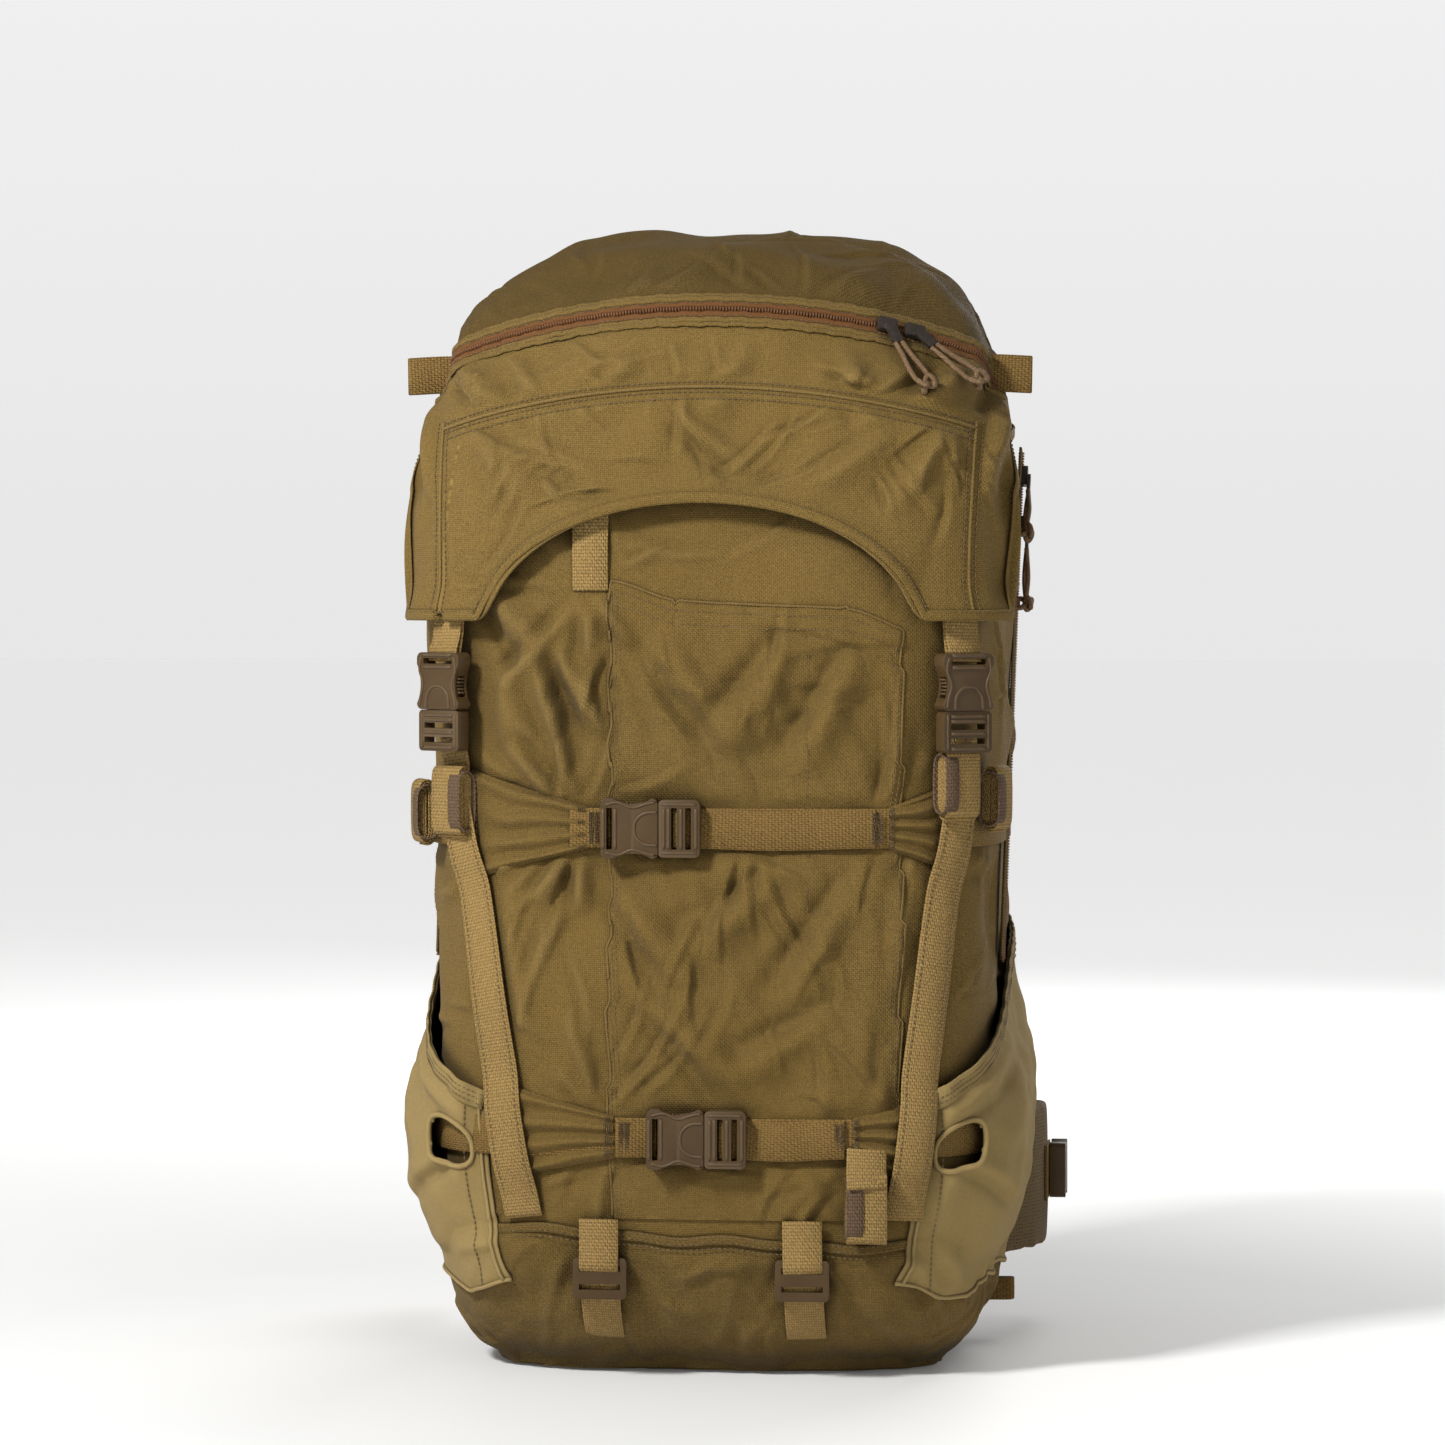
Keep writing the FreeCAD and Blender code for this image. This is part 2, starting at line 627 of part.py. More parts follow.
def make_base_fittings():
    """Ladder locks and webbing for a load under the pack, and the small side loops."""
    locks, webs = [], []
    z = 66.0
    for x in (-64.0, 64.0):
        y = BACK_Y - dense(BAG, [z])[0][2] - CLOTH
        where = frame_of(Vector(x, y - 6.5, z), Vector(0, 0, -1), Vector(0, -1, 0))
        locks.append(placed(ladder_lock(), where))
        web = box(x - WEB / 2, x + WEB / 2, y - 3.2, y - 1.4, 24, 104)
        webs.append(web)
    solid = bag_solid(CLOTH + 0.3, low=0)
    webs = [w.cut(solid) for w in webs]
    parts["base_webbing"] = together(*webs)
    parts["base_ladder_locks"] = together(*locks)
    loop = box(150, 184, 36, 46, 24, 40).cut(box(140, 182, 38, 44, 20, 44)).cut(solid)
    parts["side_loops"] = together(loop, mirrored(loop))


# ---- frame and harness -------------------------------------------------------------------------------------
def make_frame():
    """The stiff sheet and two stays behind the bag, and the pads that lie against the wearer's back."""
    half, bottom, top, thick = SHEET
    sheet = box(-half, half, SHEET_Y, SHEET_Y + thick, bottom, top)
    across = [e for e in sheet.Edges if abs(e.Vertexes[0].Y - e.Vertexes[1].Y) > 0.9 * thick]
    parts["frame_sheet"] = sheet.makeFillet(40, across)
    y = SHEET_Y + thick + 0.3
    stay = box(STAY_X - STAY[0] / 2, STAY_X + STAY[0] / 2, y, y + STAY[1], bottom + 14, top - 30)
    parts["frame_stays"] = together(stay, mirrored(stay))
    channel = box(-16, 16, PAD_Y + 5, PAD_Y + 40, 190, 520)
    pad = box(-122, 122, PAD_Y, PAD_Y + PAD_THICK, 196, 516).cut(channel)
    uprights = [e for e in pad.Edges if abs(e.Vertexes[0].Y - e.Vertexes[1].Y) > 0.9 * PAD_THICK]
    parts["back_pad"] = pad.makeFillet(22, uprights)
    lumbar = box(-98, 98, PAD_Y, PAD_Y + 22, 58, 186)
    uprights = [e for e in lumbar.Edges if abs(e.Vertexes[0].Y - e.Vertexes[1].Y) > 0.9 * 22]
    parts["lumbar_pad"] = lumbar.makeFillet(26, uprights)


def make_harness():
    """The yoke, shoulder straps and the webbing that adjusts them. Returns the y of the straps' root face."""
    yoke = box(-104, 104, YOKE_Y, YOKE_Y + 5, 424, 558)
    uprights = [e for e in yoke.Edges if abs(e.Vertexes[0].Y - e.Vertexes[1].Y) > 4]
    parts["yoke"] = yoke.makeFillet(20, uprights)
    y = YOKE_Y + 5.3
    x0, x1 = SHOULDER_X - SHOULDER_HALF, SHOULDER_X + SHOULDER_HALF
    inner = SHOULDER_THICK + 0.2
    path = [
        (y + inner, 452),
        (y + inner, 515),
        (y + 19, 538),
        (y + 33, 552),
        (y + 52, 554),
        (y + 66, 537),
        (y + 72, 500),
        (y + 60, 395),
        (y + 48, 330),
        (y + 42, 292),
    ]
    strap = ribbon(path, SHOULDER_THICK, x0, x1).cut(box(0, 300, 0, y, 0, 900))
    parts["right_shoulder_strap"], parts["left_shoulder_strap"] = strap, mirrored(strap)
    x = SHOULDER_X
    top = (y + 40, 570.5)
    lifter = ribbon([top, (y + 8, 577), (SHEET_Y + SHEET[3] + 1, 580)], WEB_THICK, x - 10, x + 10)
    upper_lock = placed(ladder_lock(), frame_of(Vector(x, y + 42, 575.6), Vector(0, 1, 0), Vector(0, 0, 1)))
    lower = ribbon([(y + 33, 286), (y + 12, 226), (PAD_Y + 25, 150)], WEB_THICK, x - WEB / 2, x + WEB / 2)
    lower = lower.cut(together(parts["back_pad"], parts["lumbar_pad"], parts["right_shoulder_strap"]))
    tilt = frame_of(Vector(x, y + 38, 276), Vector(0, -0.34, -0.94), Vector(0, 0.94, -0.34))
    lower_lock = placed(ladder_lock(), tilt).cut(together(lower, parts["right_shoulder_strap"]))
    straps, locks = together(lifter, lower), together(upper_lock.cut(lifter), lower_lock)
    parts["harness_straps"] = together(straps, mirrored(straps))
    parts["harness_locks"] = together(locks, mirrored(locks))
    return y


def make_sternum_strap(y):
    """The chest strap, which slides up and down both shoulder straps and parts at its buckle."""
    run_y, run_z = 12, 105  # the shoulder straps' straight run, which starts at z 395
    out = Vector(0, run_z, -run_y).normalize()
    face_y = y + 60 + run_y * (STERNUM_Z - 395) / run_z
    at = Vector(0, face_y, STERNUM_Z) + out * (SHOULDER_THICK + 1.0)
    turned = frame_of(at, Vector(-1, 0, 0), out)

    def strip(x0, x1, half, z0, z1):
        return placed(box(x0, x1, -half, half, z0, z1), turned)

    female_at = 31.0
    buckle = frame_of(at + Vector(female_at, 0, 0) + out * 6.5, Vector(-1, 0, 0), out)
    parts["sternum_buckle_female"] = placed(buckle_female(), buckle)
    parts["sternum_buckle_male"] = placed(buckle_male(), buckle)
    webs = [strip(x0, x1, 9.5, -0.6, 0.7) for x0, x1 in ((-88, 6 - female_at), (15, 88))]
    parts["sternum_webbing"] = together(*webs)
    clips = []
    for side in (-1, 1):
        clip_at = frame_of(at + Vector(side * 74, 0, 0) + out * 3.0, Vector(1, 0, 0), out)
        clips.append(placed(rounded_plate(-8, 8, 13, 4.2, 2), clip_at))
    parts["sternum_clips"] = together(*clips)


def make_belt():
    """Two padded wings, hinged in cloth at the lumbar pad, each with webbing and half a buckle at its end."""
    z0, z1 = BELT_Z
    x, y = BELT_HINGE
    line = [(x, y), (x + 12, y), (146, 102), (170, 116), (186, 139), (192, 168), (190, 196)]
    left, right = [], []
    for i, (x, y) in enumerate(line):
        ahead, behind = line[min(i + 1, len(line) - 1)], line[max(i - 1, 0)]
        d = math.hypot(ahead[0] - behind[0], ahead[1] - behind[1])
        nx, ny = (behind[1] - ahead[1]) / d, (ahead[0] - behind[0]) / d
        left.append(Vector(x + nx * BELT_THICK / 2, y + ny * BELT_THICK / 2, z0))
        right.append(Vector(x - nx * BELT_THICK / 2, y - ny * BELT_THICK / 2, z0))
    wing = prism(left + right[::-1], Vector(0, 0, 1), z1 - z0)
    middle = (z0 + z1) / 2
    web = box(199.0, 200.6, 160, 207, middle - 19, middle + 19).cut(wing)
    parts["right_belt_wing"], parts["left_belt_wing"] = wing, mirrored(wing)
    parts["right_belt_webbing"], parts["left_belt_webbing"] = web, mirrored(web)
    half = placed(buckle_female(), frame_of(Vector(206.6, 180, middle), Vector(0, 1, 0), Vector(1, 0, 0)))
    male = buckle_male()
    male.translate(Vector(-FEMALE_LENGTH - JOINT_GAP, 0, 0))
    male = placed(male, frame_of(Vector(205.6, 206, middle), Vector(0, -1, 0), Vector(1, 0, 0)))
    parts["right_belt_buckle_female"] = half
    parts["left_belt_buckle_male"] = mirrored(male)


def make_haul_loop():
    """A webbing grab handle that swings on the frame's top edge."""
    y, z = HAUL_PIVOT
    outer = box(-33, 33, y - 1.4, y + 1.4, z - 44, z + 1.2)
    parts["haul_loop"] = outer.cut(box(-24, 24, y - 5, y + 5, z - 35, z - 6))


def main():
    make_bag()
    make_side_pockets()
    make_collar()
    make_lid()
    make_lid_straps()
    make_lid_sliders()
    make_side_zips()
    make_compression_straps()
    make_uprights()
    make_strap_rolls()
    make_base_fittings()
    make_frame()
    y = make_harness()
    make_sternum_strap(y)
    make_belt()
    make_haul_loop()
    os.makedirs("parts", exist_ok=True)
    for old in os.listdir("parts"):
        os.remove(os.path.join("parts", old))
    for name, shape in parts.items():
        if not shape.Solids or not shape.isValid():
            raise ValueError(f"{name} is not a valid solid")
        Part.makeCompound(shape.Solids).exportStep(os.path.join("parts", name + ".step"))


main()
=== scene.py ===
"""The looks of a hunting backpack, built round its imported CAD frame. The tables are in millimetres."""

import math

import bpy
import numpy as np
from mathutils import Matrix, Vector
from mathutils.bvhtree import BVHTree


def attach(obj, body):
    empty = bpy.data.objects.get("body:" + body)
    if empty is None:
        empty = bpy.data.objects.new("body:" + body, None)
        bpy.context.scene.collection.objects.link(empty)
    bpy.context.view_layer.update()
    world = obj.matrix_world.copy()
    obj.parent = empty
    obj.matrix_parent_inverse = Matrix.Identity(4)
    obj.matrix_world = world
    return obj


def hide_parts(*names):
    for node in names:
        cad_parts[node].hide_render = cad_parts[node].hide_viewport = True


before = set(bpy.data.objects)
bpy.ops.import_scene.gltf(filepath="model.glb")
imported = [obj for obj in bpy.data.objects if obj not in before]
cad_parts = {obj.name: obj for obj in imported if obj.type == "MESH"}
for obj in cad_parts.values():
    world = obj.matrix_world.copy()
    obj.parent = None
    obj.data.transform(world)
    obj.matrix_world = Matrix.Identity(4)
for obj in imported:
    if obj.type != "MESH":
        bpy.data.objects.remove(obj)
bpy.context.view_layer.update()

MM = 0.001
UP = np.array([0.0, 0.0, 1.0])

# ---- the pack's sections, which follow its CAD solids -------------------------------------------
BACK_Y = 75.0
# height, half width, depth
BAG = [
    (6, 146, 230),
    (45, 168, 262),
    (120, 177, 284),
    (215, 179, 290),
    (280, 180, 284),
    (345, 181, 277),
    (430, 184.5, 283),
    (520, 188, 285),
    (560, 185, 280),
    (600, 177, 266),
]
BAG_POWER = 4.0
# height, half width, front y, back y, plan power
LID = [
    (480, 195, -217, 81, 4.0),
    (520, 196, -217, 81, 4.0),
    (560, 193, -212, 80, 3.9),
    (600, 187, -203, 79, 3.6),
    (640, 179, -191, 78, 3.0),
    (665, 170, -180, 75, 2.6),
    (690, 154, -160, 66, 2.4),
    (710, 130, -132, 52, 2.3),
    (724, 98, -96, 30, 2.2),
    (730, 60, -58, 0, 2.2),
]
# height, half width, half depth; then where the mouth runs, as y and z
POCKET = [(60, 171, 126), (84, 188, 138), (135, 200, 147), (200, 204, 149), (255, 201, 147), (310, 193, 143)]
POCKET_MOUTH = [(-230, 172), (-60, 268), (75, 300)]
COLLAR = [(572, 169, 248, -62), (600, 165, 242, -55), (624, 150, 216, -48), (642, 139, 198, -41)]
CORNER_TURN = 38.0
UPRIGHT_Z = (104.0, 412.0)
UPRIGHTS = [(-112.0, -160.0), (126.0, 161.0)]
WEB = 25.0
WEB_THICK = 1.5
MID_Z = 350.0
LOW_Z = 156.0

ZIP_RADIUS = 300.0
ZIP_FRONT = np.array([0.0, -176.0, 677.0])
ZIP_LEAN = math.radians(32.0)
ZIP_INWARD = np.array([0.0, math.cos(ZIP_LEAN), -math.sin(ZIP_LEAN)])
ZIP_AXIS = np.array([0.0, math.sin(ZIP_LEAN), math.cos(ZIP_LEAN)])
ZIP_CENTRE = ZIP_FRONT + ZIP_INWARD * ZIP_RADIUS


# ---- numbers ------------------------------------------------------------------------------------
def smoothstep(x, low, high):
    """0 below low, 1 above high, and an S-shaped rise between them."""
    t = np.clip((np.asarray(x, float) - low) / (high - low), 0, 1)
    return t * t * (3 - 2 * t)


def unit(v):
    """Vectors brought to length 1."""
    v = np.asarray(v, float)
    return v / np.maximum(np.linalg.norm(v, axis=-1, keepdims=True), 1e-12)


def dense(rows, heights):
    """A section table read at other heights, smoothly and without overshoot."""
    rows = np.asarray(rows, float)
    z, values = rows[:, 0], rows[:, 1:]
    step = np.diff(values, axis=0) / np.diff(z)[:, None]
    slope = np.zeros_like(values)
    slope[0], slope[-1] = step[0], step[-1]
    product = step[:-1] * step[1:]
    total = np.where(np.abs(step[:-1] + step[1:]) < 1e-12, 1, step[:-1] + step[1:])
    slope[1:-1] = np.where(product > 0, 2 * product / total, 0)
    h = np.clip(np.atleast_1d(np.asarray(heights, float)), z[0], z[-1])
    i = np.clip(np.searchsorted(z, h, side="right") - 1, 0, len(z) - 2)
    span = (z[i + 1] - z[i])[:, None]
    t = ((h - z[i]) / (z[i + 1] - z[i]))[:, None]
    a = 2 * t**3 - 3 * t**2 + 1
    m0, m1 = slope[i] * span, slope[i + 1] * span
    return a * values[i] + (1 - a) * values[i + 1] + (t**3 - 2 * t**2 + t) * m0 + (t**3 - t**2) * m1


def squircle(t, half_x, half_y, middle_y, power):
    """A rounded rectangle's plan, read at the angles t."""
    c, s = np.cos(t), np.sin(t)
    r = (np.abs(c) ** power + np.abs(s) ** power) ** (-1 / power)
    return half_x * r * c, middle_y + half_y * r * s


def even_turns(count, half_x, half_y, power, closed=True):
    """Angles round a squircle at equal distances along it, from its +X side."""
    fine = np.linspace(0, 2 * math.pi, 4001)
    x, y = squircle(fine, half_x, half_y, 0, power)
    run = np.concatenate([[0], np.cumsum(np.hypot(np.diff(x), np.diff(y)))])
    return np.interp(np.linspace(0, run[-1], count, endpoint=not closed), run, fine)


def bag_point(t, z, out=0.0):
    """A point of the bag's surface, at a plan angle t and height z, moved out along the plan's normal."""
    t, z = np.broadcast_arrays(np.asarray(t, float), np.asarray(z, float))
    a, depth = dense(BAG, z.ravel()).T
    a, b = a.reshape(z.shape), depth.reshape(z.shape) / 2
    x, y = squircle(t, a, b, BACK_Y - b, BAG_POWER)
    power = BAG_POWER - 1
    u, v = x / a, (y - BACK_Y + b) / b
    n = unit(np.stack([np.sign(u) * np.abs(u) ** power / a, np.sign(v) * np.abs(v) ** power / b], -1))
    points = np.stack([x + n[..., 0] * out, y + n[..., 1] * out, z], -1)
    return points, np.concatenate([n, 0 * n[..., :1]], -1)


def turn_at_x(x, z):
    """The plan angle at which the bag's front has that x."""
    t = np.linspace(-math.pi, 0, 1441)
    points, _ = bag_point(t, np.full_like(t, z))
    return float(np.interp(x, points[:, 0], t))


def turn_at_y(y, z, side):
    """The plan angle at which the bag's side has that y."""
    t = np.linspace(-math.pi / 2, math.pi / 2, 1441)
    points, _ = bag_point(t, np.full_like(t, z))
    found = float(np.interp(y, points[:, 1], t))
    return found if side > 0 else math.pi - found


def distances(path):
    """How far along a path each of its points lies."""
    return np.concatenate([[0], np.cumsum(np.linalg.norm(np.diff(path, axis=0), axis=1))])


def read_along(rows, run, at):
    """Rows that go with distances along a path, read at other distances."""
    return np.stack([np.interp(at, run, rows[:, k]) for k in range(rows.shape[1])], -1)


def smooth_path(points, count):
    """A Catmull-Rom curve through points, at equal distances."""
    p = np.asarray(points, float)
    p = np.vstack([2 * p[0] - p[1], p, 2 * p[-1] - p[-2]])
    fine = []
    for a, b, c, d in zip(p, p[1:], p[2:], p[3:]):
        t = np.linspace(0, 1, 24, endpoint=False)[:, None]
        bend = (2 * a - 5 * b + 4 * c - d) * t**2 + (3 * b - a - 3 * c + d) * t**3
        fine.append(0.5 * (2 * b + (c - a) * t + bend))
    fine = np.vstack([*fine, p[-2:-1]])
    run = distances(fine)
    return read_along(fine, run, np.linspace(0, run[-1], count))


def tangents(path, closed=False):
    """The way that a path runs at each of its points."""
    if closed:
        return unit(np.roll(path, -1, 0) - np.roll(path, 1, 0))
    return unit(np.gradient(path, axis=0))


# ---- meshes -------------------------------------------------------------------------------------
def ring_faces(rings, sides, closed):
    """The faces of a tube between rings of points, with an end on each end unless it closes on itself."""
    faces = []
    for i in range(rings if closed else rings - 1):
        here, there = i * sides, (i + 1) % rings * sides
        for j in range(sides):
            after = (j + 1) % sides
            faces.append([here + j, here + after, there + after, there + j])
    if not closed:
        faces += [list(range(sides))[::-1], [(rings - 1) * sides + j for j in range(sides)]]
    return faces


class Piece:
    """Gathers the vertices, faces and UVs of one visible piece. Points come in millimetres."""

    def __init__(self):
        self.points, self.faces, self.uvs, self.count = [], [], [], 0

    def add(self, points, faces, uv=None):
        """Adds points with the faces between them. Where they have no UVs, finish_mesh gives flat ones."""
        points = np.asarray(points, float).reshape(-1, 3)
        self.points.append(points)
        self.uvs.append(np.full((len(points), 2), np.nan) if uv is None else np.reshape(uv, (-1, 2)))
        self.faces += [[i + self.count for i in face] for face in faces]
        self.count += len(points)
        return self

    def grid(self, points, closed=False, flip=False):
        """A surface of rows and columns; closed joins the last row to the first."""
        rows, columns = points.shape[:2]
        faces = []
        for i in range(rows if closed else rows - 1):
            here, there = i * columns, (i + 1) % rows * columns
            faces += [[here + j, there + j, there + j + 1, here + j + 1] for j in range(columns - 1)]
        return self.add(points, [f[::-1] for f in faces] if flip else faces)

    def strip(self, path, normals, width=WEB, thick=WEB_THICK, closed=False):
        """Flat webbing that follows a path, with its face towards the normals."""
        path, normals = np.asarray(path, float), np.broadcast_to(unit(normals), np.shape(path))
        ahead = tangents(path, closed)
        side = unit(np.cross(ahead, normals))
        normals = unit(np.cross(side, ahead))
        h, t, e = width / 2, thick / 2, min(0.6, thick * 0.45)
        outline = [(-h, 0), (-h + e, -t), (h - e, -t), (h, 0), (h - e, t), (0, t + 0.05), (-h + e, t)]
        across, out = np.array(outline).T
        rings = path[:, None] + side[:, None] * across[None, :, None] + normals[:, None] * out[None, :, None]
        uv = np.stack(np.broadcast_arrays(distances(path)[:, None], across[None]), -1)
        return self.add(rings, ring_faces(len(path), len(outline), closed), uv)

    def tube(self, path, radius, sides=8, closed=False):
        """A round bar along a path."""
        path = np.asarray(path, float)
        ahead = tangents(path, closed)
        side = unit(np.cross(ahead[0], UP if abs(ahead[0][2]) < 0.9 else [1, 0, 0]))
        turn = np.linspace(0, 2 * math.pi, sides, endpoint=False)
        rings = []
        for p, t in zip(path, ahead):
            side = unit(side - t * (side @ t))
            around = np.cos(turn)[:, None] * side + np.sin(turn)[:, None] * np.cross(t, side)
            rings.append(p + radius * around)
        return self.add(rings, ring_faces(len(path), sides, closed))

    def stitches(self, path, normals, pitch=3.6, length=2.5, radius=0.42):
        """A row of thread stitches along a path."""
        path = np.asarray(path, float)
        normals = np.broadcast_to(unit(normals), path.shape)
        run = distances(path)
        at = np.arange(pitch / 2, run[-1], pitch)
        centre = read_along(path, run, at)
        out = unit(read_along(normals, run, at))
        way = unit(read_along(tangents(path), run, at))
        side = np.cross(way, out)
        ring = [(0.36, 1, 0), (0.36, 0, 1), (0.36, -1, 0), (0.36, 0, -1)]
        shape = [(-0.5, 0, -0.6), *[(-a, s, o) for a, s, o in ring], *ring, (0.5, 0, -0.6)]
        faces = [[0, 2, 1], [0, 3, 2], [0, 4, 3], [0, 1, 4], [9, 5, 6], [9, 6, 7], [9, 7, 8], [9, 8, 5]]
        faces += [[1 + j, 1 + (j + 1) % 4, 5 + (j + 1) % 4, 5 + j] for j in range(4)]
        for c, w, s, o in zip(centre, way, side, out):
            self.add([c + w * a * length + s * b * radius + o * d * radius for a, b, d in shape], faces)
        return self

    def make(self, name, material, body, smooth=True):
        """The gathered mesh as an object that rides on a body."""
        mesh = bpy.data.meshes.new(name)
        points = np.vstack(self.points) * MM
        mesh.from_pydata(points.tolist(), [], self.faces)
        mesh.validate()
        thing = bpy.data.objects.new(name, mesh)
        bpy.context.scene.collection.objects.link(thing)
        mesh.materials.append(material)
        finish_mesh(thing, np.vstack(self.uvs) * MM, smooth)
        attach(thing, body)
        return thing


def read_items(items, name, columns, kind=float):
    """An attribute of all of a mesh's vertices, loops or faces, as an array with that many columns."""
    flat = np.zeros(len(items) * columns, kind)
    items.foreach_get(name, flat)
    return flat.reshape(-1, columns)


def coordinates(thing):
    """A piece's vertices, in metres."""
    return read_items(thing.data.vertices, "co", 3)


def vertex_normals(thing):
    """The way that a piece faces at each vertex."""
    return read_items(thing.data.vertex_normals, "vector", 3)


def move_to(thing, points):
    """Puts a piece's vertices at points given in metres."""
    thing.data.vertices.foreach_set("co", points.ravel())
    thing.data.update()


def finish_mesh(thing, uvs=None, smooth=True):
    """Smooth shading, and UVs in metres: given ones, or flat ones along each face's main axis."""
    mesh = thing.data
    layer = mesh.uv_layers.new(name="UVMap") if not mesh.uv_layers else mesh.uv_layers[0]
    loops = read_items(mesh.loops, "vertex_index", 1, int)[:, 0]
    totals = read_items(mesh.polygons, "loop_total", 1, int)[:, 0]
    main = np.repeat(np.abs(read_items(mesh.polygons, "normal", 3)).argmax(1), totals)[:, None]
    p = coordinates(thing)[loops]
    flat = np.where(main == 0, p[:, [1, 2]], np.where(main == 1, p[:, [0, 2]], p[:, [0, 1]]))
    if uvs is not None:
        given = uvs[loops]
        flat = np.where(np.isnan(given), flat, given)
    layer.data.foreach_set("uv", flat.ravel())
    mesh.polygons.foreach_set("use_smooth", np.full(len(mesh.polygons), smooth))
    mesh.update()


def refine(thing, levels, solid=0.0):
    """Applies a subdivision, and a thickness where the piece has one."""
    if levels:
        m = thing.modifiers.new("subdivision", "SUBSURF")
        m.levels = m.render_levels = levels
    if solid:
        m = thing.modifiers.new("thickness", "SOLIDIFY")
        m.thickness, m.offset = solid, -1
    apply_modifiers(thing)


def apply_modifiers(thing):
    """Keeps the mesh that a piece's modifiers make, and drops them."""
    bpy.context.view_layer.update()
    graph = bpy.context.evaluated_depsgraph_get()
    mesh = bpy.data.meshes.new_from_object(thing.evaluated_get(graph), depsgraph=graph)
    thing.modifiers.clear()
    old, thing.data = thing.data, mesh
    bpy.data.meshes.remove(old)


def simulate(thing, pinned, pressure, swell, cap, frames=18, bend=0.6, stiff=12.0):
    """Lets the loose cloth between a piece's pinned seams fill out and crease, then keeps the result."""
    before = coordinates(thing)
    group = thing.vertex_groups.new(name="seams")
    for i in np.nonzero(pinned > 0.02)[0]:
        group.add([int(i)], float(min(1, pinned[i])), "REPLACE")
    cloth = thing.modifiers.new("cloth", "CLOTH")
    s = cloth.settings
    s.quality, s.mass = 5, 0.2
    s.tension_stiffness = s.compression_stiffness = stiff
    s.shear_stiffness, s.bending_stiffness = stiff / 3, bend
    s.use_pressure, s.uniform_pressure_force = True, pressure
    s.shrink_min = -swell
    s.effector_weights.gravity = 0
    s.vertex_group_mass = "seams"
    cloth.point_cache.frame_start, cloth.point_cache.frame_end = 1, frames
    scene = bpy.context.scene
    for f in range(1, frames + 1):
        scene.frame_set(f)
    graph = bpy.context.evaluated_depsgraph_get()
    after = read_items(thing.evaluated_get(graph).data.vertices, "co", 3)
    thing.modifiers.clear()
    thing.vertex_groups.clear()
    scene.frame_set(1)
    move = after - before
    size = np.linalg.norm(move, axis=1, keepdims=True)
    move *= cap * MM * np.tanh(size / (cap * MM)) / np.maximum(size, 1e-9)
    move_to(thing, before + move)
    print("simulated", thing.name, "largest move %.1f mm" % (size.max() / MM))


# ---- materials ----------------------------------------------------------------------------------
class Shader:
    """A material's nodes, added one call at a time. A value that is a socket is linked."""

    def __init__(self, name):
        self.material = bpy.data.materials.new(name)
        self.material.use_nodes = True
        self.tree = self.material.node_tree
        self.bsdf = self.tree.nodes["Principled BSDF"]

    def add(self, kind, inputs=None, **settings):
        """A node with its settings, and the values or sockets that go into its inputs."""
        node = self.tree.nodes.new(kind)
        for key, value in settings.items():
            setattr(node, key, value)
        for key, value in (inputs or {}).items():
            self.plug(node.inputs[key], value)
        return node

    def plug(self, socket, value):
        """Links a socket, or sets it to a plain value."""
        if isinstance(value, bpy.types.NodeSocket):
            self.tree.links.new(value, socket)
        else:
            socket.default_value = value

    def maths(self, operation, a, b=0.0):
        """The result of an operation on one or two values."""
        return self.add("ShaderNodeMath", {0: a, 1: b}, operation=operation).outputs[0]

    def blend(self, share, a, b):
        """Colour a with that share of colour b."""
        node = self.add("ShaderNodeMix", data_type="RGBA")
        for socket, value in ((node.inputs[0], share), (node.inputs[6], a), (node.inputs[7], b)):
            plain = isinstance(value, (bpy.types.NodeSocket, float, int))
            self.plug(socket, value if plain else (*value[:3], 1))
        return node.outputs[2]

    def ramp(self, value, low, high, start=0.0, end=1.0):
        """Runs from start to end while the value runs from low to high."""
        node = self.add("ShaderNodeMapRange", {0: value, 1: low, 2: high, 3: start, 4: end})
        return node.outputs[0]

    def noise(self, scale, detail=3.0, vector=None):
        """Noise over the object's own metres, or over other coordinates."""
        inputs = {"Scale": scale, "Detail": detail, "Roughness": 0.55}
        if vector is None:
            vector = self.add("ShaderNodeTexCoord").outputs["Object"]
        return self.add("ShaderNodeTexNoise", {"Vector": vector, **inputs}).outputs["Fac"]

    def threads(self, along, across):
        """Height of a plain weave with those thread pitches, in mm, and the UVs scaled to its threads."""
        uv = self.add("ShaderNodeUVMap", uv_map="UVMap").outputs[0]
        counts = (1 / (along * MM), 1 / (across * MM), 1)
        scaled = self.add("ShaderNodeVectorMath", {0: uv, 1: counts}, operation="MULTIPLY")
        parts = self.add("ShaderNodeSeparateXYZ", {0: scaled.outputs[0]}).outputs
        waves = [self.maths("SINE", self.maths("MULTIPLY", parts[i], math.pi)) for i in (0, 1)]
        over = self.maths("GREATER_THAN", self.maths("MULTIPLY", *waves), 0.0)
        ridges = [self.maths("ABSOLUTE", w) for w in waves]
        mix = self.add("ShaderNodeMix", {0: over, 2: ridges[1], 3: ridges[0]}, data_type="FLOAT")
        height = mix.outputs[0]
        return height, scaled.outputs[0]

    def finish(self, colour, height, depth, strength=0.6, roughness=0.85, **fixed):
        """The material, with its colour, its relief of that depth in millimetres and its roughness."""
        bump = self.add("ShaderNodeBump", {"Strength": strength, "Distance": depth * MM, "Height": height})
        self.plug(self.bsdf.inputs["Base Color"], colour)
        self.plug(self.bsdf.inputs["Roughness"], roughness)
        self.plug(self.bsdf.inputs["Normal"], bump.outputs[0])
        for key, value in fixed.items():
            self.bsdf.inputs[key.replace("_", " ")].default_value = value
        return self.material


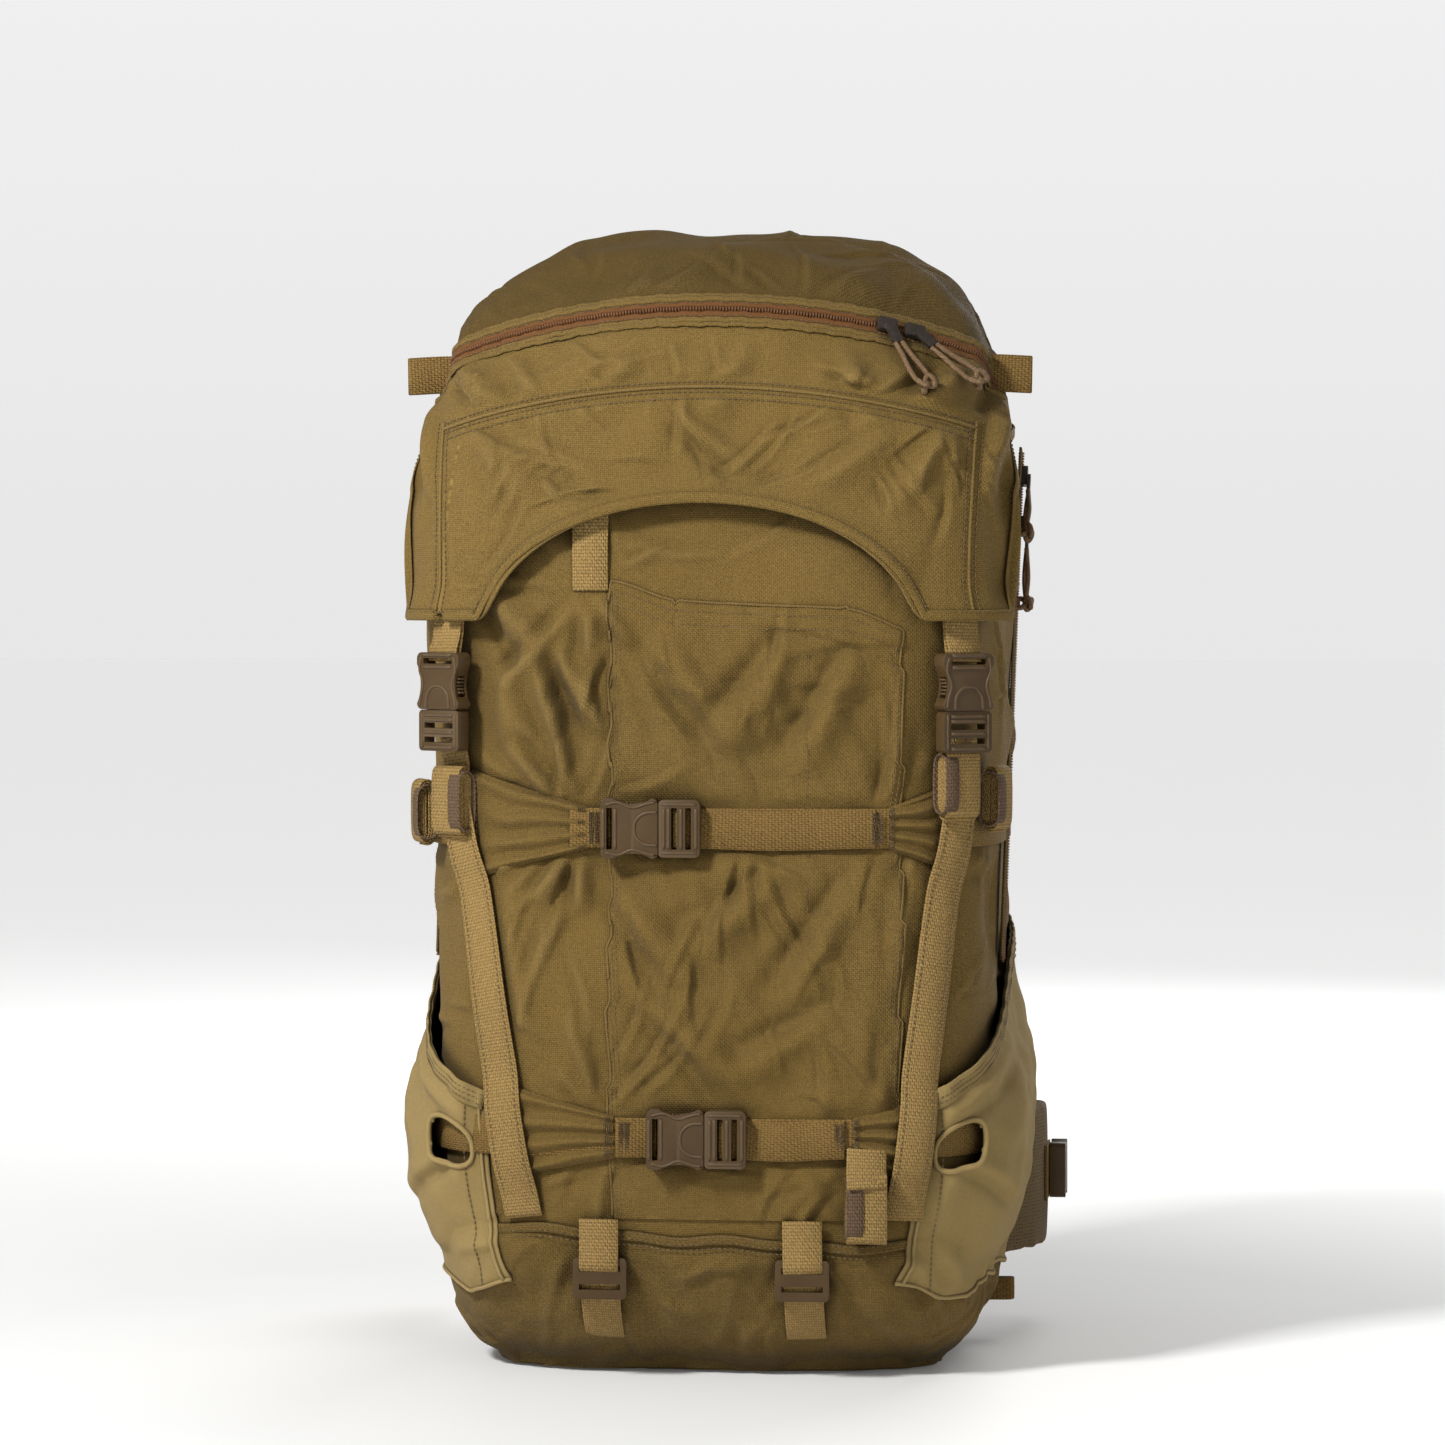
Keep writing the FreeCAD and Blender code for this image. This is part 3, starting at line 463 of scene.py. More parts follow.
def cloth_material(name, colour, pitch=1.25, depth=0.4, sheen=0.03, heather=0.32, wrinkle=5.0):
    """Heavy woven cloth: crossing threads of uneven tone, with painted shade in the gaps between threads and
    in its creases, and paler fold crests that are partly rubbed wear and partly a painted highlight.
    """
    s = Shader(name)
    height, threads = s.threads(pitch, pitch)
    colour = np.array(colour)
    mottled = s.ramp(s.noise(0.9, 2.0, threads), 0.3, 0.7)
    base = s.blend(mottled, colour * (1 - heather), colour * (1 + heather))
    for stretch in ((0.14, 1.1, 1.0), (1.1, 0.14, 1.0)):
        drawn = s.add("ShaderNodeVectorMath", {0: threads, 1: stretch}, operation="MULTIPLY").outputs[0]
        slub = s.ramp(s.noise(1.0, 2.0, drawn), 0.5, 0.72, 0.0, 0.5)
        base = s.blend(slub, base, colour * 1.45)
    slow = s.ramp(s.noise(7.0, 5.0), 0.38, 0.66)
    base = s.blend(s.maths("MULTIPLY", slow, 0.45), base, colour * np.array([1.13, 1.10, 1.04]))
    # painted shade in the gaps between the threads, from the weave's height
    thread_gap_shade = s.ramp(height, 0.0, 0.75, 0.8, 0.0)
    base = s.blend(thread_gap_shade, base, colour * 0.5)
    edge = s.add("ShaderNodeNewGeometry").outputs["Pointiness"]
    # paler on fold crests: partly rubbed wear, partly a painted highlight that brings out the folds
    crest_wear_and_highlight = s.ramp(edge, 0.50, 0.58, 0.0, 0.4)
    base = s.blend(crest_wear_and_highlight, base, colour * 1.35 + 0.02)
    # painted shade in creases and hollows, taken from ambient occlusion
    painted_crease_shade = s.add("ShaderNodeAmbientOcclusion", {"Distance": 0.028}, samples=6).outputs["AO"]
    base = s.blend(s.ramp(painted_crease_shade, 0.3, 0.96, 0.8, 0.0), base, colour * 0.28)
    grain = s.maths("ADD", height, s.maths("MULTIPLY", s.noise(330.0, 3.0), 1.3))
    lines = s.maths("ABSOLUTE", s.maths("SUBTRACT", s.noise(24.0, 4.0), 0.5))
    grain = s.maths("ADD", grain, s.maths("MULTIPLY", lines, wrinkle / depth))
    rough = s.ramp(slow, 0, 1, 0.82, 0.93)
    gloss = {"Sheen_Weight": sheen, "Sheen_Roughness": 0.45, "Specular_IOR_Level": 0.12}
    return s.finish(base, grain, depth, 0.75, rough, **gloss)


def webbing_material(name, colour):
    """Ribbed nylon webbing: coarse weft bars with fine warp ribs, darker between its ribs with painted
    shade.
    """
    s = Shader(name)
    height, threads = s.threads(2.1, 1.4)
    colour = np.array(colour)
    mottled = s.ramp(s.noise(0.8, 2.0, threads), 0.3, 0.7)
    base = s.blend(mottled, colour * 0.78, colour * 1.25)
    # painted shade between the ribs, from the weave's height
    base = s.blend(s.ramp(height, 0.0, 0.8, 0.9, 0.0), base, colour * 0.36)
    slow = s.ramp(s.noise(11.0, 4.0), 0.35, 0.7)
    base = s.blend(s.maths("MULTIPLY", slow, 0.35), base, colour * 1.25)
    return s.finish(base, height, 0.6, 0.9, 0.78, Specular_IOR_Level=0.16)


def moulded_material(name, colour, rough=0.42):
    """Moulded nylon with a fine spark texture, scuffed paler on its edges."""
    s = Shader(name)
    colour = np.array(colour)
    fine = s.noise(900.0, 2.0)
    slow = s.noise(45.0, 4.0)
    base = s.blend(s.ramp(slow, 0.3, 0.7), colour * 0.86, colour * 1.14)
    edge = s.ramp(s.add("ShaderNodeNewGeometry").outputs["Pointiness"], 0.51, 0.60, 0.0, 0.55)
    base = s.blend(edge, base, colour * 1.7 + 0.03)
    height = s.maths("ADD", fine, s.maths("MULTIPLY", slow, 0.6))
    spark = s.ramp(fine, 0.3, 0.7, rough + 0.04, rough + 0.2)
    return s.finish(base, height, 0.08, 0.6, spark, Specular_IOR_Level=0.25)


def mesh_material(name, colour):
    """Spacer mesh over foam: a net of small open cells, with painted shade inside them."""
    s = Shader(name)
    uv = s.add("ShaderNodeUVMap", uv_map="UVMap").outputs[0]
    cells = s.add("ShaderNodeTexVoronoi", {"Vector": uv, "Scale": 420.0, "Randomness": 0.25})
    cells = cells.outputs["Distance"]
    colour = np.array(colour)
    hole = s.ramp(cells, 0.12, 0.34, 1.0, 0.0)
    # painted shade inside the open cells
    base = s.blend(hole, colour * 1.25, colour * 0.3)
    slow = s.ramp(s.noise(12.0, 4.0), 0.35, 0.7)
    base = s.blend(s.maths("MULTIPLY", slow, 0.3), base, colour * 1.5)
    return s.finish(base, s.maths("SUBTRACT", 1.0, hole), 0.5, 0.7, 0.88, Specular_IOR_Level=0.2)


def metal_material(name, colour, rough, metallic=1.0):
    """Brushed or painted metal with fine scratches."""
    s = Shader(name)
    where = s.add("ShaderNodeTexCoord").outputs["Object"]
    long = s.add("ShaderNodeVectorMath", {0: where, 1: (700.0, 700.0, 25.0)}, operation="MULTIPLY")
    scratch = s.noise(1.0, 4.0, long.outputs[0])
    colour = np.array(colour)
    base = s.blend(s.ramp(scratch, 0.35, 0.7), colour * 0.85, colour * 1.12)
    sheen = s.ramp(scratch, 0.3, 0.7, rough - 0.08, rough + 0.1)
    return s.finish(base, scratch, 0.05, 0.4, sheen, Metallic=metallic)


def cord_material(name, colour, fleck):
    """Braided cord with flecks of a second thread, and painted shade in the grooves of its braid."""
    s = Shader(name)
    where = s.add("ShaderNodeTexCoord").outputs["Object"]
    bands = {"Vector": where, "Scale": 420.0, "Distortion": 3.0}
    wave = s.add("ShaderNodeTexWave", bands, bands_direction="DIAGONAL")
    tint = s.ramp(s.noise(700.0, 1.0), 0.56, 0.6)
    base = s.blend(tint, colour, fleck)
    # painted shade in the grooves of the braid
    base = s.blend(s.ramp(wave.outputs["Fac"], 0.0, 0.6, 0.6, 0.0), base, np.array(colour) * 0.35)
    return s.finish(base, wave.outputs["Fac"], 0.35, 0.7, 0.7)


CLOTH = cloth_material("pack_cloth", (0.150, 0.094, 0.025))
PANEL_CLOTH = cloth_material("panel_cloth", (0.144, 0.090, 0.024))
LID_CLOTH = cloth_material("lid_cloth", (0.158, 0.100, 0.027))
# a darker copy of the lid cloth for the lid's top: painted shade on the upward-facing top, which the frontal
# light leaves dim
SHADED_TOP_CLOTH = cloth_material("lid_top_painted_shade", (0.088, 0.055, 0.015), sheen=0.0)
BASE_CLOTH = cloth_material("base_cloth", (0.128, 0.080, 0.022), pitch=1.5, depth=0.45)
STRETCH_CLOTH = cloth_material(
    "stretch_cloth", (0.275, 0.194, 0.074), pitch=0.7, depth=0.22, heather=0.10, wrinkle=1.5
)
LINING = cloth_material("collar_lining", (0.170, 0.125, 0.060), pitch=0.6, depth=0.15, sheen=0.3)
WEBBING = webbing_material("webbing", (0.175, 0.104, 0.029))
PALE_WEBBING = webbing_material("pale_webbing", (0.270, 0.172, 0.058))
ELASTIC = webbing_material("elastic", (0.115, 0.071, 0.041))
BINDING = webbing_material("binding_tape", (0.230, 0.145, 0.055))
THREAD = cord_material("thread", (0.130, 0.082, 0.028), (0.20, 0.13, 0.05))
DARK_THREAD = cord_material("dark_thread", (0.075, 0.045, 0.018), (0.10, 0.06, 0.03))
MOULDED = moulded_material("moulded_nylon", (0.053, 0.029, 0.008), 0.36)
SHEET = moulded_material("frame_board", (0.018, 0.018, 0.018), 0.5)
ZIP_TAPE = cloth_material("zip_tape", (0.150, 0.064, 0.021), pitch=0.8, depth=0.2, heather=0.1)
ZIP_COIL = moulded_material("zip_coil", (0.120, 0.050, 0.017), 0.38)
SLIDER = metal_material("slider_paint", (0.060, 0.048, 0.040), 0.42, 0.6)
STAY = metal_material("bare_aluminium", (0.62, 0.63, 0.64), 0.35)
CORD = cord_material("pull_cord", (0.150, 0.083, 0.032), (0.210, 0.125, 0.055))
MESH = mesh_material("spacer_mesh", (0.100, 0.068, 0.032))


# ---- camera, light and floor --------------------------------------------------------------------
VIEW_TURN = math.radians(6.0)
VIEW_RISE = math.radians(1.5)
VIEW_DISTANCE = 3.69
VIEW_WIDTH = 0.910  # metres across the picture at 3.5 m
SENSOR = 36
FLOOR_HALF = 30.0


def make_camera(scene):
    """The camera, a little to the right of the pack's front."""
    level = math.cos(VIEW_RISE)
    back = Vector((math.sin(VIEW_TURN) * level, -math.cos(VIEW_TURN) * level, math.sin(VIEW_RISE)))
    right = Vector((math.cos(VIEW_TURN), math.sin(VIEW_TURN), 0))
    camera = bpy.data.objects.new("camera", bpy.data.cameras.new("camera"))
    scene.collection.objects.link(camera)
    camera.data.sensor_width = SENSOR
    camera.data.lens = SENSOR * 3.5 / VIEW_WIDTH
    camera.location = right * -0.008 + Vector((0, 0, 0.411)) + back * VIEW_DISTANCE
    camera.rotation_mode = "QUATERNION"
    camera.rotation_quaternion = (-back).to_track_quat("-Z", "Y")
    scene.camera = camera


def softbox(scene, name, place, aim, size, power):
    """A square light that faces a point."""
    light = bpy.data.objects.new(name, bpy.data.lights.new(name, "AREA"))
    light.data.size, light.data.energy = size, power
    light.location = place
    light.rotation_mode = "QUATERNION"
    light.rotation_quaternion = (Vector(aim) - Vector(place)).to_track_quat("-Z", "Y")
    scene.collection.objects.link(light)


def height_ramp(tree, height, *limits):
    """A value that runs between the last two limits while a direction rises between the first two."""
    node = tree.nodes.new("ShaderNodeMapRange")
    tree.links.new(height, node.inputs[0])
    for slot, value in enumerate(limits, 1):
        node.inputs[slot].default_value = value
    return node.outputs[0]


def make_world(scene):
    """A studio that is bright near the floor and dims above it."""
    scene.world = bpy.data.worlds.new("studio")
    scene.world.use_nodes = True
    tree = scene.world.node_tree
    where = tree.nodes.new("ShaderNodeTexCoord").outputs["Generated"]
    parts = tree.nodes.new("ShaderNodeSeparateXYZ")
    tree.links.new(where, parts.inputs[0])
    colour, strength = tree.nodes["Background"].inputs[:2]
    tree.links.new(height_ramp(tree, parts.outputs[2], 0.0, 0.12, 0.80, 0.88), colour)
    tree.links.new(height_ramp(tree, parts.outputs[2], 0.15, 0.32, 1.0, 0.24), strength)


def make_floor(scene):
    """A pale floor that glows a little more further out, where it meets the studio."""
    floor = bpy.data.objects.new("floor", bpy.data.meshes.new("floor"))
    corners = [(-1, -1), (1, -1), (1, 1), (-1, 1)]
    floor.data.from_pydata([(x * FLOOR_HALF, y * FLOOR_HALF, 0) for x, y in corners], [], [(0, 1, 2, 3)])
    pale = Shader("pale_floor")
    where = pale.add("ShaderNodeTexCoord").outputs["Object"]
    far = pale.add("ShaderNodeVectorMath", {0: where}, operation="LENGTH").outputs["Value"]
    pale.plug(pale.bsdf.inputs["Emission Strength"], pale.ramp(far, 0.5, 2.2, 0.06, 0.56))
    pale.bsdf.inputs["Emission Color"].default_value = (1, 1, 1, 1)
    tone = pale.blend(pale.noise(3.0), (0.78, 0.78, 0.77), (0.82, 0.82, 0.81))
    floor.data.materials.append(pale.finish(tone, pale.noise(60.0), 0.2, 0.1, 0.6))
    scene.collection.objects.link(floor)


def make_stage():
    """Camera, three lights, studio and floor."""
    scene = bpy.context.scene
    make_camera(scene)
    scene.view_settings.view_transform = "Standard"
    softbox(scene, "key", (-1.25, -1.9, 2.0), (0, -0.1, 0.38), 0.42, 92)
    softbox(scene, "fill", (2.2, -2.2, 0.6), (0, 0, 0.35), 1.2, 7)
    softbox(scene, "back_light", (0.9, 2.4, 1.7), (0, 0, 0.4), 1.6, 42)
    make_world(scene)
    make_floor(scene)


# ---- zip pulls, which come first ----------------------------------------------------------------
PULL_ROUTE = [
    (0.0, -2.4, 0.0),
    (9.5, -3.0, 0.9),
    (21.0, -5.4, 2.1),
    (35.0, -4.9, 0.8),
    (35.4, 4.9, 0.8),
    (22.0, 5.8, -1.2),
    (9.0, 3.2, -0.8),
    (0.0, 2.4, 0.0),
]
CORD_THICK = 3.2
KNOT_ALONG, KNOT_OUT = 36.5, 0.8
KNOT_SIZE, KNOT_STRAND = 5.6, 1.7
TAB_END, TAB_HEIGHT = 15.4, 6.1
SIDE_ZIP = ((4.0, 588.0), (-96.0, 262.0))
SIDE_LEAN = (183.2, 280.0, 5.0 / 240.0)


def axes(x, z):
    x, z = unit(x), unit(z)
    return np.array([x, np.cross(z, x), z])


def lid_zip_frame(angle):
    """A place on the lid zip's arc, with its axes: along the zip, across it and outwards."""
    t = math.radians(angle)
    out = -ZIP_INWARD * math.cos(t) + np.array([math.sin(t), 0, 0])
    along = np.array([math.cos(t), 0, 0]) + ZIP_INWARD * math.sin(t)
    return ZIP_CENTRE + out * ZIP_RADIUS, axes(along, out)


def side_zip_frame(z, side):
    """A place on a side zip's line, with its axes: down the zip, across it and outwards."""
    (y0, z0), (y1, z1) = SIDE_ZIP
    x_at, z_at, lean = SIDE_LEAN
    down = unit([(z1 - z0) * lean, y1 - y0, z1 - z0])
    out = unit([-down[2], 0, down[0]])
    place = np.array([x_at + (z - z_at) * lean, y0 + (y1 - y0) * (z - z0) / (z1 - z0), z])
    flip = np.array([side, 1, 1])
    return place * flip, axes(down * flip, out * flip)


def overhand_knot(centre, own_axes):
    """A small overhand knot in doubled cord."""
    t = np.linspace(0, 2 * math.pi, 72, endpoint=False)
    local = np.stack([
        0.62 * np.sin(3 * t),
        0.42 * (np.sin(t) + 1.35 * np.sin(2 * t)),
        0.42 * (np.cos(t) - 1.35 * np.cos(2 * t)),
    ], -1)
    return centre + KNOT_SIZE * local @ own_axes


def make_braid(name, points):
    """A cord that follows a list of points."""
    curve = bpy.data.curves.new(name, "CURVE")
    curve.dimensions = "3D"
    spline = curve.splines.new("NURBS")
    spline.points.add(len(points) - 1)
    for target, p in zip(spline.points, points):
        target.co = (*(p * MM), 1)
    spline.order_u = 3
    spline.use_endpoint_u = True
    curve.bevel_depth = CORD_THICK / 2 * MM
    curve.bevel_resolution = 4
    curve.resolution_u = 14
    curve.materials.append(CORD)
    cord = bpy.data.objects.new(name, curve)
    bpy.context.scene.collection.objects.link(cord)
    return cord


def make_pull(name, place, own_axes, tab_turn, body, tip=0.0):
    """A zip slider's looped cord with its knot, from the end of the slider's tab."""
    turn, rise = math.radians(tab_turn), math.radians(tip)
    ahead = math.cos(turn) * own_axes[0] + math.sin(turn) * own_axes[1]
    across = -math.sin(turn) * own_axes[0] + math.cos(turn) * own_axes[1]
    root = place + ahead * TAB_END + own_axes[2] * TAB_HEIGHT
    along = math.cos(rise) * ahead + math.sin(rise) * own_axes[2]
    out = math.cos(rise) * own_axes[2] - math.sin(rise) * ahead
    points = [root + along * a + across * c + out * o for a, c, o in PULL_ROUTE]
    cord = make_braid(name + "_braid", points)
    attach(cord, body)
    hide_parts(name)
    centre = root + along * KNOT_ALONG + out * KNOT_OUT
    knot = Piece().tube(overhand_knot(centre, np.array([along, across, out])), KNOT_STRAND, 8, closed=True)
    knot = knot.make(name + "_knot", CORD, body)


def make_pulls():
    """The cords of the lid's two sliders, the right side's two and the left side's one."""
    for i, angle, turn in ((1, 25.5, -38.0), (2, 22.0, -62.0)):
        place, own_axes = lid_zip_frame(angle)
        make_pull(f"lid_zip_cord_{i}", place, own_axes, turn, f"lid_slider_{i}", 10.0)
    for name, body, side, z, turn in (
        ("right_zip_cord_upper", "right_slider_upper", 1, 574.0, -27.0),
        ("right_zip_cord_lower", "right_slider_lower", 1, 541.0, 4.0),
        ("left_zip_cord", "left_slider", -1, 556.0, 4.0),
    ):
        place, own_axes = side_zip_frame(z, side)
        make_pull(name, place, own_axes, turn, body)


# ---- unevenness of cloth ------------------------------------------------------------------------
def ripple(points, wavelength, seed, waves=10):
    """Smooth seeded unevenness, mostly between -1 and 1."""
    rng = np.random.default_rng(seed)
    ways = unit(rng.normal(size=(waves, 3)))
    pace = 2 * math.pi / (wavelength * rng.uniform(0.7, 1.5, waves))
    phase = rng.uniform(0, 2 * math.pi, waves)
    return np.sin(points @ ways.T * pace + phase).sum(-1) / math.sqrt(waves)


def beside_line(p, start, end):
    """How far along a line the points of a flat view lie, from 0 to 1, how far beside it, and its length."""
    a, along = np.array(start, float), np.subtract(end, start).astype(float)
    length = np.hypot(*along)
    t = np.clip(((p - a) @ along) / length**2, 0, 1)
    d = ((p[..., 0] - a[0]) * along[1] - (p[..., 1] - a[1]) * along[0]) / length
    return t, d, length


def fold(p, start, end, width, height):
    """A soft ridge along a line of a flat view, with a valley beside it, that fades at both ends."""
    t, d, _ = beside_line(p, start, end)
    w = width * (0.6 + 0.6 * t)
    shape = np.exp(-((d / w) ** 2)) - 0.8 * np.exp(-(((d - 1.35 * w) / (0.6 * w)) ** 2))
    return height * shape * np.sin(math.pi * t) ** 0.8


def folds(p, rows, total=0):
    """Adds up folds, each given by its ends, width and height."""
    for row in rows:
        total = total + fold(p, *row)
    return total


def crease(p, start, end, width, height):
    """A sharp, bowed ridge along a line, with a steep valley beside it, that fades at both ends."""
    t, d, length = beside_line(p, start, end)
    d = d + 0.07 * length * np.sin(math.pi * t)
    w = width * (0.6 + 0.6 * t)
    ridge = np.exp(-np.sqrt(d**2 + 0.5) / w)
    valley = np.exp(-np.sqrt((d - 1.4 * w) ** 2 + 0.3) / (0.55 * w))
    return height * (ridge - 0.85 * valley) * np.sin(math.pi * t) ** 0.7


def crumple(
    p, seed, count, low, high, pulls, length=(24, 80), width=(2.4, 5.0), height=(0.9, 2.6), spread=20
):
    """Seeded sharp creases between two corners of a flat view, each towards the nearest of its pulls."""
    rng = np.random.default_rng(seed)
    total = np.zeros(p.shape[:-1])
    pulls = np.array(pulls, float)
    for _ in range(count):
        middle = rng.uniform(low, high)
        away = pulls - middle
        near = away[np.argmin(np.hypot(*away.T))]
        heading = math.atan2(near[1], near[0]) + math.radians(rng.normal(0, spread))
        half = rng.uniform(*length) / 2 * np.array([math.cos(heading), math.sin(heading)])
        total += crease(p, middle - half, middle + half, rng.uniform(*width), rng.uniform(*height))
    return total


def carve(thing, height_of, limit=5.0):
    """Moves finished cloth along its normals, by a height worked out from its points and normals."""
    co, n = coordinates(thing) / MM, vertex_normals(thing)
    move = np.clip(height_of(co, n), -limit, limit)
    move_to(thing, (co + n * move[:, None]) * MM)


def fan(p, centre, headings, near, reach, width, height):
    """Folds that spread from the place where a strap pulls the cloth."""
    total = 0
    for i, heading in enumerate(headings):
        way = np.array([math.cos(math.radians(heading)), math.sin(math.radians(heading))])
        far = reach * (0.75 + 0.35 * math.sin(2.3 * i + 1))
        tall = height * (0.8 + 0.3 * math.cos(3.1 * i))
        total = total + fold(p, centre + way * near, centre + way * far, width, tall)
    return total


class Surface:
    """Finished cloth that other pieces are laid on."""

    def __init__(self, *things):
        points, faces = [], []
        for thing in things:
            start = len(points)
            points += (coordinates(thing) / MM).tolist()
            faces += [[i + start for i in p.vertices] for p in thing.data.polygons]
        self.tree = BVHTree.FromPolygons(points, faces)

    def lay(self, points, normals, out, reach=45.0):
        """Moves each point along its normal to lie that far off the cloth, where there is cloth."""
        shape = np.shape(points)
        points, normals = np.reshape(points, (-1, 3)), np.broadcast_to(normals, shape).reshape(-1, 3)
        laid = np.array(points, float)
        for i, (p, n) in enumerate(zip(points, normals)):
            hit = self.tree.ray_cast(Vector(p + n * reach), Vector(-n), 2 * reach)[0]
            if hit is not None:
                laid[i] = np.array(hit) + n * out
        return laid.reshape(shape)


# ---- the bag ------------------------------------------------------------------------------------
# the front pocket panel's seams, as x and height, and the height of its top seam across the front
PANEL_LEFT = [
    (-56, 104), (-59, 186), (-84, 236), (-93, 274), (-87, 299),
    (-72, 331), (-78, 368), (-97, 400), (-106, 438), (-110, 492),
]
PANEL_RIGHT = [
    (124, 104), (127, 186), (131, 236), (129, 299), (121, 331),
    (121, 368), (128, 400), (127, 463), (126, 492),
]
PANEL_TOP = [(-112, 486), (-87, 503), (-57, 505), (-15, 493), (40, 490), (90, 488), (128, 474)]
PANEL_BOTTOM_Z = 104.0
BASE_SEAM = [(-180, 99), (-60, 97), (60, 89), (180, 92)]


def read(rows, at, key=1):
    """A smooth line through rows of pairs, read at values of their other column."""
    rows = sorted(rows, key=lambda r: r[key])
    return dense([(r[key], r[1 - key]) for r in rows], at)[:, 0].reshape(np.shape(at))


def upright_x(i, z):
    """Where an upright strap's middle runs at some height."""
    low, high = UPRIGHTS[i]
    return low + (high - low) * (np.asarray(z) - UPRIGHT_Z[0]) / (UPRIGHT_Z[1] - UPRIGHT_Z[0])


def held_by_straps(points, near=13.0, far=27.0):
    """1 where a strap holds the cloth down and 0 clear of them."""
    x, y, z = points[..., 0], points[..., 1], points[..., 2]
    held = 1 - smoothstep(np.abs(z - MID_Z), near, far)
    held = np.maximum(held, (1 - smoothstep(np.abs(z - LOW_Z), near, far)) * (y < -70))
    for i in (0, 1):
        on = (y < -60) * (1 - smoothstep(z, UPRIGHT_Z[1], UPRIGHT_Z[1] + 20))
        held = np.maximum(held, on * (1 - smoothstep(np.abs(x - upright_x(i, z)), near - 1, far - 4)))
    for side in (-1, 1):
        for z0 in (366.0, 440.0):
            at, _ = corner_point(z0, CORNER_TURN, side)
            away = np.linalg.norm((points - at) * [1, 1, 0.55 if z0 > 400 else 1], axis=-1)
            held = np.maximum(held, 1 - smoothstep(away, 24, 40))
    return held


def corner_point(z, turn, side, out=0.0):
    """A point of the bag's front corner whose face is turned that far outwards, and the way it faces."""
    (a, depth), k = dense(BAG, z)[0], BAG_POWER - 1
    b = depth / 2
    ratio = (math.tan(math.radians(turn)) * a**BAG_POWER / b**BAG_POWER) ** (1 / k)
    y = ((ratio / a) ** BAG_POWER + b**-BAG_POWER) ** (-1 / BAG_POWER)
    n = np.array([side * math.sin(math.radians(turn)), -math.cos(math.radians(turn)), 0])
    return np.array([side * ratio * y, BACK_Y - b - y, z]) + n * out, n


# where straps pull the front, the folds' headings, where the folds start, their reach, width and height
FRONT_FANS = [
    ((-76, MID_Z), (104, 118, 131, 146, 160), 14, 132, 6.0, 5.6),
    ((-76, MID_Z), (205, 222, 238, 254, 268), 14, 110, 5.5, 4.6),
    ((122, MID_Z), (22, 40, 62, 84), 16, 105, 6.5, 4.2),
    ((122, MID_Z), (-25, -45, -66, -88), 16, 95, 6.0, 3.8),
    ((-60, LOW_Z), (105, 124, 146, 165), 15, 80, 5.0, 3.4),
    ((100, LOW_Z), (15, 38, 62, 86), 15, 78, 5.0, 3.2),
    ((-69, 500), (228, 247, 268, 288, 306), 8, 92, 6.0, 3.8),
]
# both ends of a fold, its width and its height
FRONT_FOLDS = [
    ((-150, 585), (-62, 545), 9, 4.5),
    ((-158, 530), (-96, 452), 10, 5.0),
    ((-150, 470), (-112, 398), 9, 4.0),
    ((-98, 470), (-58, 408), 9, 4.5),
    ((-30, 468), (34, 396), 12, 4.5),
    ((60, 470), (8, 392), 12, 4.0),
    ((100, 462), (62, 384), 11, 4.2),
    ((-60, 320), (-4, 252), 11, 4.0),
    ((52, 322), (-8, 266), 12, 4.0),
    ((98, 318), (52, 232), 11, 4.2),
    ((-40, 250), (30, 186), 11, 3.6),
    ((88, 236), (22, 192), 10, 3.4),
    ((140, 470), (160, 392), 8, 3.5),
    ((-128, 300), (-108, 205), 8, 3.6),
    ((146, 306), (134, 214), 8, 3.6),
]
# the places that pull the bag's cloth: by x and height at the front, by y and height at the sides
FRONT_PULLS = [
    (-76, MID_Z), (122, MID_Z), (-60, LOW_Z), (100, LOW_Z), (-69, 500), (-152, 440), (162, 440), (20, MID_Z),
]
SIDE_PULLS = [(-110, 440), (-90, 350), (10, 590), (60, 350), (-60, 250), (60, 130)]


def near_zip(points, side):
    """1 along a side zip, where its tape holds the cloth, and 0 clear of it."""
    x, y, z = points[..., 0], points[..., 1], points[..., 2]
    (y0, z0), (y1, z1) = SIDE_ZIP
    line = y0 + (z - z0) * (y1 - y0) / (z1 - z0)
    return (side * x > 150) * (z > 250) * (1 - smoothstep(np.abs(y - line), 9, 24))


def bag_creases(co, n):
    """The sharp creases of the bag's front and sides."""
    _, y, z = co.T
    free = 1 - held_by_straps(co, 14, 24)
    loose = (1 - np.maximum(near_zip(co, -1), near_zip(co, 1))) * (1 - smoothstep(y, 40, 66))
    free *= loose * smoothstep(z, 10, 40)
    total = smoothstep(-n[:, 1], 0.35, 0.8) * crumple(
        co[:, [0, 2]], 81, 95, (-165, 110), (165, 590), FRONT_PULLS, (30, 110), (2.6, 6.0), (1.7, 4.8), 17
    )
    for side in (-1, 1):
        beside = smoothstep(side * n[:, 0], 0.45, 0.85)
        view = co[:, [1, 2]]
        total += beside * crumple(view, 84 + side, 60, (-190, 110), (60, 590), SIDE_PULLS, height=(1.6, 4.4))
    return total * free


